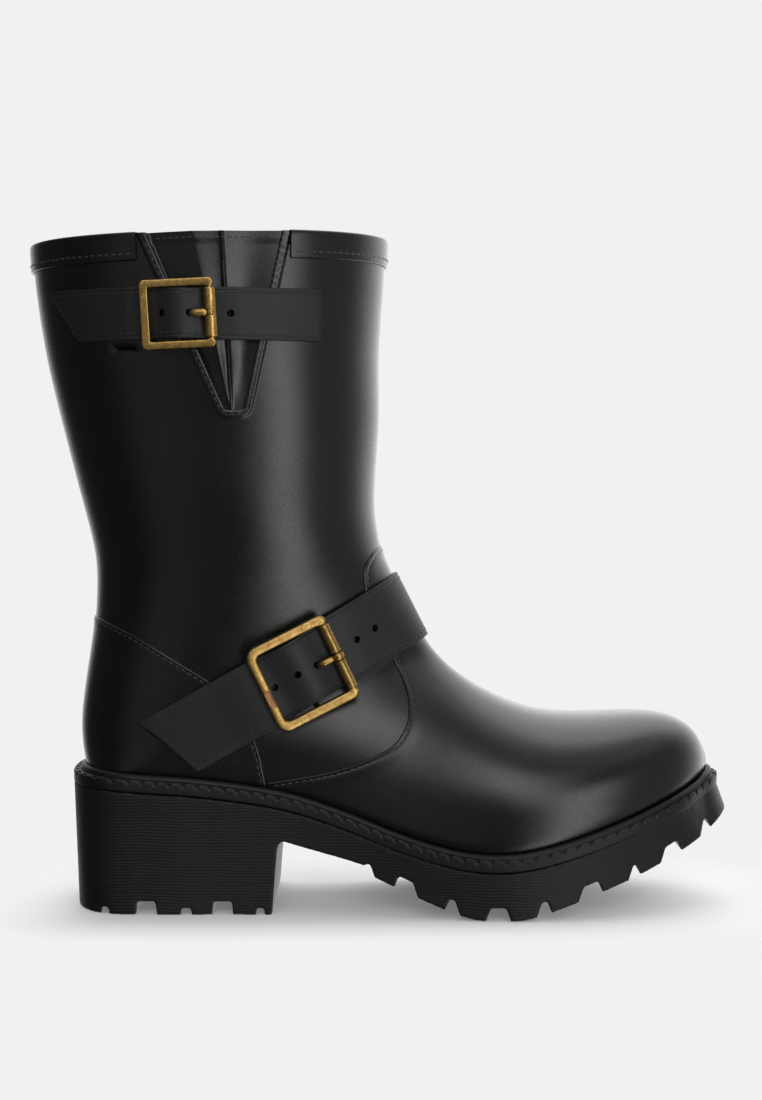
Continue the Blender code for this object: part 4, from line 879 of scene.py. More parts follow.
# ---------------------------------------------------------------- gusset: a pleated V
def gusset_sheet():
    rows, cols = 150, 111
    pts = np.zeros((rows, cols, 3))
    nrm = np.zeros((rows, cols, 3))
    hgt = np.zeros((rows, cols))
    for k in range(rows):
        f = k / (rows - 1)
        z = gz - 1.6 + f * (275.7 - gz + 1.6)
        t = (z - gz) / (RIM - gz)
        tt = max(t, 0.0)
        xl, xr = g1 + (g0 - g1) * tt - 0.9, g3 + (g2 - g3) * tt + 0.9
        r1 = GUSSET_RIDGES[0][1] + (GUSSET_RIDGES[0][0] - GUSSET_RIDGES[0][1]) * tt
        r2 = GUSSET_RIDGES[1][1] + (GUSSET_RIDGES[1][0] - GUSSET_RIDGES[1][1]) * tt
        # columns crowd at the two ridges
        a = np.concatenate([xl + (r1 - xl) * (np.linspace(0, 1, 41) ** 0.8), (r1 + (r2 - r1) * np.linspace(0, 1, 31))[1:], (r2 + (xr - r2) * (np.linspace(0, 1, 41) ** 1.25))[1:]])
        grow = float(ease(-0.02, 0.30, t))
        slope_top = 0.35 + 0.65 * grow
        for c, x in enumerate(a):
            rim_z = 274.0 + (x + 58.4) / 147.4 * 3.2
            zc = z + (rim_z - 275.75) * f
            hit, n, _, _ = FINE.ray_cast(Vector((x, 0.0, min(zc, rim_z - 0.4))), Vector((0, -1, 0)))
            n = np.array([n.x, n.y, 0.0])
            if n[1] > 0:
                n = -n
            pts[k, c] = (hit.x, hit.y, zc)
            nrm[k, c] = n / np.linalg.norm(n)
            if x <= r1:
                q = (x - xl) / max(r1 - xl, 1e-6)
                h = -0.95 - 1.75 * grow * float(ease(0.0, 0.13, q)) * (1 - q) ** 0.9 + 1.30 * slope_top * grow * q ** 1.5
            elif x <= r2:
                q = (x - r1) / max(r2 - r1, 1e-6)
                top = -0.95 + 1.30 * slope_top * grow
                h = top + (-0.75 - top) * float(ease(0.0, 1.0, q ** 0.8))
            else:
                q = (x - r2) / max(xr - r2, 1e-6)
                h = -0.75 - 1.25 * grow * math.sin(math.pi * q) ** 1.2 - 0.2 * q
            h += 0.85 * (0.25 + 0.75 * grow) * math.exp(-(((x - r2) / 0.62) ** 2))
            h += 0.45 * (1 - grow) * math.exp(-(((x - r1) / 0.62) ** 2)) * ease(-0.01, 0.03, t)
            h += 0.30 * float(ease(271.6, 272.0, z))      # the hem at the rim
            hgt[k, c] = h
    for _ in range(2):
        hgt[1:-1] = (hgt[:-2] + 2 * hgt[1:-1] + hgt[2:]) / 4
    return pts, nrm, hgt


gp, gn, gh = gusset_sheet()
gr, gc = gh.shape
gfaces = [[i * gc + j, i * gc + j + 1, (i + 1) * gc + j + 1, (i + 1) * gc + j] for i in range(gr - 1) for j in range(gc - 1)]
piece("gusset_pleat", *sheet_solid(gp.reshape(-1, 3), gn.reshape(-1, 3), gfaces, gh.reshape(-1), np.full(gr * gc, 1.0)), UPPER_MAT, slot="upper_rubber", replaces=("gusset",), angle=60)
hem = gp[int(gr * 0.965)] + gn[int(gr * 0.965)] * (gh[int(gr * 0.965)] + 0.02)[:, None]
pos, t = even(hem[6:-6], 2.7)
hem_n = [gn[int(gr * 0.965)][int(np.argmin(np.linalg.norm(hem - p, axis=1)))] for p in pos]
piece("gusset_hem_stitching", *stitches(list(zip(pos, t, hem_n)), 1.8, 0.6, 0.26), LIT_SEAM_STITCH_MAT, slot="upper_rubber", angle=60)


# ---------------------------------------------------------------- rim band
def rim_band():
    lengths = np.concatenate([np.zeros((1, AROUND)), np.cumsum(np.linalg.norm(np.diff(GRID[:40], axis=0), axis=2), axis=0)])
    rim_d = DG[0]
    outside = np.nonzero(rim_d < -3.05)[0]
    gaps = np.nonzero(np.diff(outside) > 1)[0]
    a, b = outside[gaps[0] + 1], outside[gaps[0]] + AROUND     # from just right of the gusset round to just left of it
    lo = a - (rim_d[a] + 3.05) / (rim_d[a] - rim_d[a - 1]) if rim_d[a - 1] > -90 else a
    section = [(0.10, -10.75), (0.72, -10.85), (1.02, -10.72), (1.20, -10.4), (1.28, -9.9), (1.24, -9.0), (1.22, -6.0), (1.24, -3.0), (1.22, -1.6), (1.16, -0.8), (1.0, -0.15), (0.72, 0.22), (0.35, 0.38),
               (-0.6, 0.42), (-1.8, 0.36), (-2.5, 0.12), (-2.92, -0.35), (-3.05, -1.0), (-3.08, -3.6), (-2.96, -4.0), (-2.7, -4.1), (-2.52, -3.9), (-2.48, -0.3), (0.08, -0.3), (0.10, -5.0)]
    rings = []
    for q in np.linspace(lo, b, 520):
        j = int(q) % AROUND
        pts = []
        for off, dz in section:
            if dz < 0:
                gi = float(np.interp(-dz, lengths[:, j], np.arange(40)))
                p, n = surface(np.array([gi]), np.array([q % AROUND]))
                p, n = p[0], n[0]
            else:
                p, n = surface(np.array([0.0]), np.array([q % AROUND]))
                p, n = p[0] + np.array([0, 0, dz]), n[0]
            n = np.array([n[0], n[1], n[2] * 0.3])
            pts.append(p + n / np.linalg.norm(n) * off)
        rings.append(pts)
    return rings


BAND = rim_band()
piece("rim_band", *tube(BAND), UPPER_MAT, slot="upper_rubber", replaces=("top_band",), angle=50)
line = np.array([np.array(r[5]) * 0.75 + np.array(r[6]) * 0.25 for r in BAND])
pos, t = even(line[3:-3], 3.1)
mids = np.array([np.mean(r, axis=0) for r in BAND])
places = []
for p, d in zip(pos, t):
    k = int(np.argmin(np.linalg.norm(line - p, axis=1)))
    n = np.array(BAND[k][6]) - np.array(BAND[k][24])
    places.append((p, d, n / np.linalg.norm(n)))
piece("rim_band_stitching", *stitches(places, 2.2, 0.78, 0.34), LIT_SEAM_STITCH_MAT, slot="upper_rubber", angle=60)


# ---------------------------------------------------------------- lining and footbed
def lining():
    step = 3
    rows = list(range(0, int(ROWS * 0.93), step))
    cols = list(range(0, AROUND, 3))
    g = GRID[np.ix_(rows, cols)]
    n = NORMAL[np.ix_(rows, cols)]
    outer, inner = g - n * 3.25, g - n * 4.35
    outer[0, :, 2] -= 1.0
    inner[0, :, 2] -= 1.0
    r, m = outer.shape[:2]
    lip_ring = (outer[0] + inner[0]) / 2 + np.array([0, 0, 0.55])
    points = list(outer.reshape(-1, 3)) + list(inner.reshape(-1, 3)) + list(lip_ring)
    faces = []
    for base in (0, r * m):
        for i in range(r - 1):
            for j in range(m):
                k = (j + 1) % m
                faces.append((base + i * m + j, base + i * m + k, base + (i + 1) * m + k, base + (i + 1) * m + j))
        faces.append(tuple(base + (r - 1) * m + j for j in range(m)))
    for j in range(m):
        k = (j + 1) % m
        faces.append((j, k, 2 * r * m + k, 2 * r * m + j))
        faces.append((2 * r * m + j, 2 * r * m + k, r * m + k, r * m + j))
    return points, faces, inner


lp, lf, LINE_IN = lining()
piece("knit_lining", lp, lf, LINING_MAT, slot="lining_textile", replaces=("lining",), angle=70)
LINE_TREE = tree_of(LINE_IN.reshape(-1, 3), grid_faces(LINE_IN.shape[0], LINE_IN.shape[1]))


def outline(tree, height, count_side, x0=-2.0, x1=178.0, turn=12):
    rays = [(x0 + (x1 - x0) * k / (count_side - 1), -math.pi / 2) for k in range(count_side)]
    rays += [(x1, -math.pi / 2 + math.pi * k / turn) for k in range(1, turn)]
    rays += [(x1 + (x0 - x1) * k / (count_side - 1), math.pi / 2) for k in range(count_side)]
    rays += [(x0, math.pi / 2 + math.pi * k / turn) for k in range(1, turn)]
    out = []
    for x, a in rays:
        d = Vector((math.cos(a), math.sin(a), 0))
        y0 = 2.0 * min(max((x - 60) / 120, 0), 1)
        px, hit = x, None
        for _ in range(60):
            found = tree.ray_cast(Vector((x, y0, height(px))), d)
            if found[0] is None:
                break
            hit = found[0]
            if abs(hit.x - px) < 0.005:
                break
            px = hit.x
        out.append((hit.x, hit.y))
    return np.array(out)


def closed_even(pts, count, smoothing=4):
    pts = np.array(pts, float)
    loop = np.concatenate([pts, pts[:1]])
    d = np.concatenate([[0], np.cumsum(np.linalg.norm(np.diff(loop, axis=0), axis=1))])
    at = np.linspace(0, d[-1], count, endpoint=False)
    res = np.stack([np.interp(at, d, loop[:, k]) for k in range(2)], 1)
    for _ in range(smoothing):
        res = (np.roll(res, 1, axis=0) + 2 * res + np.roll(res, -1, axis=0)) / 4
    return res, d[-1]


def plan_normals(pts, reach=1):
    t = np.roll(pts, -reach, axis=0) - np.roll(pts, reach, axis=0)
    n = np.stack([t[:, 1], -t[:, 0]], 1)
    n /= np.linalg.norm(n, axis=1, keepdims=True)
    return n


def floor_z(x):
    return welt_top(x) - 3.0 + 4.9


bed, _ = closed_even(outline(LINE_TREE, lambda x: floor_z(x) + 2.4, 60, 4.0, 172.0, 30), 300, 10)
bn = plan_normals(bed, 3)
mid_x = (bed[:, 0].min() + bed[:, 0].max()) / 2


def bed_ring(inset, lift):
    p = bed - bn * inset
    return [(x, y, floor_z(x) + lift) for x, y in p]


rings = [bed_ring(5.6, 1.3), bed_ring(3.4, 1.9), bed_ring(2.2, 2.9), bed_ring(1.6, 4.2), bed_ring(1.5, 5.0), bed_ring(1.75, 5.5), bed_ring(2.3, 5.85)]
base = bed - bn * 2.3
for f in np.linspace(0.06, 0.97, 22):
    ring_pts = []
    for x, y in base:
        xx = mid_x + (x - mid_x) * (1 - 0.30 * f)
        yc = 1.2 * min(max((xx - 60) / 120, 0), 1)
        yy = yc + (y - yc) * (1 - f)
        cup = 1.0 * (1 - f) ** 2 - 0.55 * math.exp(-(((xx - 2) / 22) ** 2)) * ease(0.1, 0.6, f) + 0.5 * math.exp(-(((xx - 62) / 26) ** 2)) * ease(0.1, 0.6, f)
        ring_pts.append((xx, yy, floor_z(xx) + 4.95 + float(cup)))
    rings.append(ring_pts)
footbed = piece("footbed_pad", *tube(rings), BED_MAT, slot="footbed_foam", replaces=("footbed",), angle=60)


# ---------------------------------------------------------------- welt
STEPS = 1500
foot, FOOT_LENGTH = closed_even(outline(FINE, lambda x: welt_top(x) - 0.4, 170, turn=60), STEPS, 14)
foot_n = plan_normals(foot, 4)
for _ in range(6):
    foot_n = (np.roll(foot_n, 1, axis=0) + 2 * foot_n + np.roll(foot_n, -1, axis=0)) / 4
foot_n /= np.linalg.norm(foot_n, axis=1, keepdims=True)


def skin_out(p, n, z_shift):
    """How far the upper stands out past the outline at this height over the welt."""
    d = 0.0
    for _ in range(3):
        found = FINE.ray_cast(Vector((p[0] - n[0] * 9, p[1] - n[1] * 9, welt_top(p[0] + n[0] * d) + z_shift)), Vector((n[0], n[1], 0)))
        if found[0] is None:
            return 0.0
        d = (found[0].x - p[0]) * n[0] + (found[0].y - p[1]) * n[1]
    return d


def wrap_smooth(v, times=8):
    v = np.array(v, float)
    for _ in range(times):
        v = (np.roll(v, 1, axis=0) + 2 * v + np.roll(v, -1, axis=0)) / 4
    return v


sub = range(0, STEPS, 5)
OUT_AT = {}
for z in (-4.8, -2.0, 0.0, 1.3, 2.2):
    v = np.interp(np.arange(STEPS), list(sub) + [STEPS], [skin_out(foot[i], foot_n[i], z) for i in sub] + [skin_out(foot[0], foot_n[0], z)])
    OUT_AT[z] = wrap_smooth(v)
LEAN = wrap_smooth(np.maximum(np.maximum(OUT_AT[1.3], OUT_AT[2.2]), 0.0), 20)
PITCH = FOOT_LENGTH / round(FOOT_LENGTH / 5.5)


def welt():
    s = np.arange(STEPS) * FOOT_LENGTH / STEPS
    phase = (s / PITCH) % 1.0
    off = np.abs(((phase + 0.5) % 1.0) - 0.5) * PITCH          # from the middle of the nearest stitch
    gap = PITCH / 2 - off                                      # from the nearest hole
    flat_d = np.linspace(3.05, 6.6, 19)
    rings = []
    for i in range(STEPS):
        p, n, lean = foot[i], foot_n[i], LEAN[i]
        low = OUT_AT[-4.8][i]
        rows = [(min(low, OUT_AT[-2.0][i]) - 0.5, -4.8), (OUT_AT[-2.0][i] - 0.6, -2.0), (OUT_AT[0.0][i] - 0.6, 0.0), (OUT_AT[1.3][i] - 0.5, 1.3), (OUT_AT[2.2][i] - 0.25, 2.0)]
        rows += [(lean + 0.55, 2.32), (lean + 1.15, 2.36), (lean + 1.7, 2.14), (lean + 2.15, 1.72), (lean + 2.45, 1.15), (lean + 2.62, 0.55), (lean * 0.9 + 2.8, 0.02), (lean * 0.8 + 2.98, -0.28)]
        for d in flat_d:
            z = -0.10 + 0.12 * float(ease(3.0, 3.5, d))
            z -= 0.30 * math.exp(-(((d - 4.75) / 0.95) ** 4))
            along_ = max(0.0, 1 - (off[i] / 1.95) ** 4)
            across = max(0.0, 1 - ((d - 4.75) / 0.72) ** 2)
            z += 0.62 * math.sqrt(across) * along_ ** 0.5
            z -= 0.85 * math.exp(-((gap[i] / 0.60) ** 2 + ((d - 4.75) / 0.70) ** 2))
            z -= 0.80 * math.exp(-((gap[i] / 0.62) ** 2)) * float(ease(5.4, 6.2, d))
            z -= 0.55 * float(ease(6.15, 6.62, d)) ** 2
            k = 0.75 * (6.6 - d) / 3.55
            rows.append((d + lean * k, z))
        rows += [(6.66, -1.0), (6.66, -1.6), (6.64, -2.6), (6.64, -3.8), (6.6, -4.35), (6.42, -4.72), (6.1, -4.86)]
        cut = 0.50 * math.exp(-((gap[i] / 0.58) ** 2))
        rings.append([(p[0] + n[0] * (d - (cut if z > -1.4 and d > 6.3 else 0)), p[1] + n[1] * (d - (cut if z > -1.4 and d > 6.3 else 0)), welt_top(p[0]) + z) for d, z in rows])
    return rings


piece("welt_strip", *tube(welt(), closed=True), WELT_MAT, slot="sole_rubber", replaces=("welt",), angle=60)


# ---------------------------------------------------------------- outsole
def raw(name, points, faces):
    mesh = bpy.data.meshes.new(name)
    bm = bmesh.new()
    vs = [bm.verts.new((p[0] * MM, p[1] * MM, p[2] * MM)) for p in points]
    for f in faces:
        bm.faces.new([vs[i] for i in f])
    bmesh.ops.remove_doubles(bm, verts=bm.verts, dist=1e-7)
    bmesh.ops.recalc_face_normals(bm, faces=bm.faces)
    if bm.calc_volume(signed=True) < 0:
        bmesh.ops.reverse_faces(bm, faces=bm.faces)
    bm.to_mesh(mesh)
    bm.free()
    return link(name, mesh)


def prism_y(name, shape, y0, y1):
    n = len(shape)
    return raw(name, [(x, y0, z) for x, z in shape] + [(x, y1, z) for x, z in shape],
               [tuple(range(n)), tuple(range(n, 2 * n))[::-1]] + [(i, (i + 1) % n, n + (i + 1) % n, n + i) for i in range(n)])


def boxed(name, low, high):
    return raw(name, *tube([[(low[0], low[1], low[2]), (high[0], low[1], low[2]), (high[0], high[1], low[2]), (low[0], high[1], low[2])],
                            [(low[0], low[1], high[2]), (high[0], low[1], high[2]), (high[0], high[1], high[2]), (low[0], high[1], high[2])]]))


def combine(ob, others, operation):
    """Booleans ob with the helpers, applies them and removes the helpers."""
    for other in others:
        m = ob.modifiers.new("b", "BOOLEAN")
        m.operation, m.object, m.solver = operation, other, "EXACT"
    bpy.context.view_layer.update()
    mesh = bpy.data.meshes.new_from_object(ob.evaluated_get(bpy.context.evaluated_depsgraph_get()))
    ob.modifiers.clear()
    old = ob.data
    ob.data = mesh
    bpy.data.meshes.remove(old)
    for other in others:
        bpy.data.objects.remove(other, do_unlink=True)
    return ob


def flare(x):
    f = min(max((x - 196) / 36, 0), 1)
    return 0.42 * f * f * (3 - 2 * f)


def sole_ring(z, count=620):
    pts, _ = closed_even(foot, count, 0)
    n = plan_normals(pts, 2)
    out = []
    for p, q in zip(pts, wrap_smooth(n, 4)):
        q = q / np.linalg.norm(q)
        zt = welt_top(p[0]) - SOLE_DROP
        grow = (zt - z) * flare(p[0]) - (zt - z) * 0.035 * (1 - min(flare(p[0]) * 6, 1))
        d = WELT_OUT - 0.1 + grow
        out.append((p[0] + q[0] * d, p[1] + q[1] * d, z))
    return out


def side_profile():
    top = [(x, welt_top(x) - SOLE_DROP) for x in [255] + list(np.arange(240, -60, -1.5)) + [-70]]
    low = [(-70.0, 0.0)]
    for a, b in HEEL_GROOVES:
        low += [(a - 0.5, 0.0), (a, LUG_DEEP), (b, LUG_DEEP), (b + 0.5, 0.0)]
    low += [(BREAST - 1.4, 0.0), (BREAST + 0.4, 24.0), (BREAST + 0.7, 27.2), (BREAST + 1.5, 29.2), (BREAST + 3.2, 30.3)]
    low += [tuple(p) for p in curve_through([(BREAST + 3.2, 30.3)] + WAIST[1:], 1.5)[1:]]

    def deep(x):
        return tread(x) + LUG_DEEP

    for i, (a, b) in enumerate(LUGS):
        xa = a - 2.0
        low += [(xa, deep(xa) if i else tread(xa) + 4.6), (a, tread(a))]
        if b - a > 8 and i < len(LUGS) - 1:
            low += [(a + (b - a) * f, tread(a + (b - a) * f)) for f in (0.25, 0.5, 0.75)]
        low += [(b, tread(b))]
        if i < len(LUGS) - 1:
            nxt = LUGS[i + 1][0] - 2.0
            low += [(b + 2.0 + (nxt - b - 2.0) * f, deep(b + 2.0 + (nxt - b - 2.0) * f)) for f in ((0.0, 0.5) if nxt - b > 5 else (0.0,))]
    low[-1] = (250.0, tread(250.0))
    return low + top


def channel(name, side):
    rings = []
    for k in range(40):
        x = 96.0 + 108.0 * k / 39
        half = 47.0 if x < 150 else 47.0 - (x - 150) ** 2 / 160.0
        wide = 20.0 - 5.0 * max(0, (x - 150) / 54)
        y = side * (half - wide) + 2.0 * float(ease(140, 160, x)) + 1.6 * math.cos(math.pi * 13 * k / 39)
        t = tread(x)
        rings.append([(x, y - 1.9, t - 12.0), (x, y + 1.9, t - 12.0), (x, y + 1.6, t + 4.4), (x, y - 1.6, t + 4.4)])
    return raw(name, *tube(rings))


def heel_plan(inset, z):
    pts = []
    for k in range(13):
        a = math.pi / 2 + math.pi * k / 12
        r = 33.0 - inset
        pts.append((-4.0 + r * 1.05 * math.cos(a), r * math.sin(a), z))
    return pts + [(28.0, -(33.0 - inset), z), (28.0, 33.0 - inset, z)]


def shank_rings(half, z_low, z_high, x0, x1, n=9):
    rings = []
    for k in range(n):
        x = x0 + (x1 - x0) * k / (n - 1)
        t = welt_top(x) - SOLE_DROP
        rings.append([(x, -half, t + z_low), (x, half, t + z_low), (x, half, t + z_high), (x, -half, t + z_high)])
    return rings


def outsole():
    ob = raw("outsole_tread", *tube([sole_ring(z) for z in (-6.0, 80.0)]))
    combine(ob, [prism_y("cut_profile", side_profile(), -90, 90)], "INTERSECT")
    cutters = [boxed(f"cut_nick_{k}_{side}", (a, min(side * 20.0, side * 60.0), -8.0), (b, max(side * 20.0, side * 60.0), 2.6)) for k, (a, b) in enumerate(HEEL_NICKS) for side in (-1, 1)]
    cutters += [channel("cut_channel_a", -1), channel("cut_channel_b", 1), raw("cut_heel", *tube([heel_plan(12.0, 14.0), heel_plan(12.0, 80.0)])), raw("cut_shank", *tube(shank_rings(7.0, -2.6, 20.0, 36.0, 112.0)))]
    combine(ob, cutters, "DIFFERENCE")
    m = ob.modifiers.new("even", "REMESH")
    m.mode, m.voxel_size, m.adaptivity = "VOXEL", 0.00062, 0.0
    m = ob.modifiers.new("soft", "SMOOTH")
    m.factor, m.iterations = 0.5, 3
    m = ob.modifiers.new("less", "DECIMATE")
    m.ratio = 0.42
    bpy.context.view_layer.update()
    mesh = bpy.data.meshes.new_from_object(ob.evaluated_get(bpy.context.evaluated_depsgraph_get()))
    ob.modifiers.clear()
    ob.data = mesh
    mesh.materials.clear()
    mesh.materials.append(SOLE_MAT)
    mesh.shade_smooth()
    mesh.set_sharp_from_angle(angle=math.radians(58))
    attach(ob, "boot")
    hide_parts("outsole")
    return ob


SOLE_OB = outsole()
print("outsole faces", len(SOLE_OB.data.polygons))


# ---------------------------------------------------------------- straps: the frame's sections near the buckles, the fine skin elsewhere
def cast_on(tree, origin, direction):
    d = Vector(direction).normalized()
    hit, normal, _, _ = tree.ray_cast(Vector(origin), d)
    if hit is None:
        return None
    return hit, (normal if normal.dot(d) > 0 else -normal)


def strap_sections(tree, rays, axis_up, wide, slack, samples=5, evening=3):
    up = Vector(axis_up)
    rows = []
    for o, d in rays:
        pts, nrm = [], Vector((0, 0, 0))
        for s in range(samples):
            f = -0.5 + s / (samples - 1)
            start = Vector(o) + up * (wide * f)
            start.z = max(start.z, welt_top(start.x) + 3.5)
            found = cast_on(tree, start, d)
            pts.append(found[0])
            nrm += found[1]
        n = (nrm - up * nrm.dot(up)).normalized()
        a, b = pts[0], pts[-1]
        over = max((pts[s] - a.lerp(b, s / (samples - 1))).dot(n) for s in range(samples))
        rows.append([a, b, n, over])
    for _ in range(evening):
        rows = [[r[0], r[1], r[2], max(r[3], (rows[max(i - 1, 0)][3] + r[3] + rows[min(i + 1, len(rows) - 1)][3]) / 3)] for i, r in enumerate(rows)]
    return [(a + n * (over + slack), b + n * (over + slack), n) for a, b, n, over in rows]


def arc_lengths(sections):
    mids = [(q[0] + q[1]) / 2 for q in sections]
    d = [0.0]
    for p, q in zip(mids, mids[1:]):
        d.append(d[-1] + (q - p).length)
    return d


def resample(sections, step):
    d = arc_lengths(sections)
    n = max(2, int(round(d[-1] / step)))
    out = []
    for k in range(n + 1):
        s = d[-1] * k / n
        i = min(max(j for j in range(len(d)) if d[j] <= s + 1e-9), len(d) - 2)
        f = (s - d[i]) / (d[i + 1] - d[i])
        (a0, b0, n0), (a1, b1, n1) = sections[i], sections[i + 1]
        out.append((a0.lerp(a1, f), b0.lerp(b1, f), n0.lerp(n1, f).normalized(), s))
    return out, d[-1]


def hump(distance, half):
    return math.cos(math.pi / 2 * distance / half) ** 2 if abs(distance) < half else 0.0


class Buckled:
    """Place and axes of a buckle on its strap, worked out the frame's way."""

    def __init__(self, sections, thick, near, window, rise, step, clear, turn):
        rows, _ = resample(sections, step)
        mids = [(a + b) / 2 for a, b, _, _ in rows]
        c = min(range(len(mids)), key=lambda i: (mids[i] - Vector(near)).length)
        self.centre_s = rows[c][3]
        half = window / 2 - 1.6
        self.rows = []
        for a, b, n, s in rows:
            r = rise * hump(s - self.centre_s, half)
            self.rows.append((a + n * r, b + n * r, n, s))
        a, b, n, s = rows[c]
        before, after = rows[max(c - 3, 0)], rows[min(c + 3, len(rows) - 1)]
        tangent = ((after[0] + after[1]) / 2 - (before[0] + before[1]) / 2).normalized()
        up = (b - a).normalized()
        tangent = (tangent - up * tangent.dot(up)).normalized()
        normal = tangent.cross(up) if tangent.cross(up).dot(n) > 0 else up.cross(tangent)
        spin = Matrix.Rotation(turn, 3, normal)
        self.mid = (a + b) / 2
        self.t, self.b, self.n = (spin @ tangent).normalized(), (spin @ up).normalized(), normal.normalized()
        top = max(((q + n2 * thick) - (a + b) / 2).dot(self.n) for a2, b2, n2, s2 in self.rows for q in (a2, b2) if window / 2 - 3.5 < abs(s2 - self.centre_s) < window / 2 + 3.5)
        self.o = (a + b) / 2 + self.n * (top + clear)

    def at(self, t, b, n):
        v = self.o + self.t * float(t) + self.b * float(b) + self.n * float(n)
        return (v.x, v.y, v.z)


CALF_RAYS = []
for k in range(5):
    a = math.radians(-146 + 14.0 * k)
    CALF_RAYS.append((Vector((-12.0, 0, CALF_STRAP_Z)), Vector((math.cos(a), math.sin(a), 0))))
for k in range(15):
    CALF_RAYS.append((Vector((-12.0 + 66.0 * k / 14, 0, CALF_STRAP_Z)), Vector((0, -1, 0))))
CALF_RAYS.append((Vector((50.0, 0, CALF_STRAP_Z)), Vector((0.30, -1, 0))))
c29, s29 = math.cos(ANKLE_STRAP_SLOPE), math.sin(ANKLE_STRAP_SLOPE)
E1, E3 = Vector((c29, 0, s29)), Vector((-s29, 0, c29))
O0 = Vector((ANKLE_STRAP_MID[0], 0, ANKLE_STRAP_MID[1]))
ANKLE_RAYS = [(O0 + E1 * (-57.0 + 69.0 * k / 16), Vector((0, -1, 0))) for k in range(17)]
for k in range(1, 16):
    a = -math.pi / 2 + math.pi * k / 16
    ANKLE_RAYS.append((O0 + E1 * 12.0, E1 * math.cos(a) + Vector((0, 1, 0)) * math.sin(a)))
ANKLE_RAYS += [(O0 + E1 * (12.0 - 52.0 * k / 12), Vector((0, 1, 0))) for k in range(13)]

calf_flat = strap_sections(BODY, CALF_RAYS, (0, 0, 1), CALF_STRAP_WIDE, 1.25)
calf = Buckled(calf_flat, CALF_STRAP_THICK, (6.9, -55.0, CALF_STRAP_Z), 26.0, 3.0, 3.0, 1.5, math.radians(2.8))
ankle_flat = strap_sections(BODY, ANKLE_RAYS, E3, ANKLE_STRAP_WIDE, 1.3)
ankle = Buckled(ankle_flat, ANKLE_STRAP_THICK, (57.0, -39.0, 98.6), 30.6, 3.0, 3.4, 1.0, math.radians(-4.6))


def dense(rays, times):
    out = []
    for (o0, d0), (o1, d1) in zip(rays, rays[1:]):
        d0, d1 = d0.normalized(), d1.normalized()
        out += [(o0.lerp(o1, k / times), d0.lerp(d1, k / times).normalized()) for k in range(times)]
    return out + [rays[-1]]


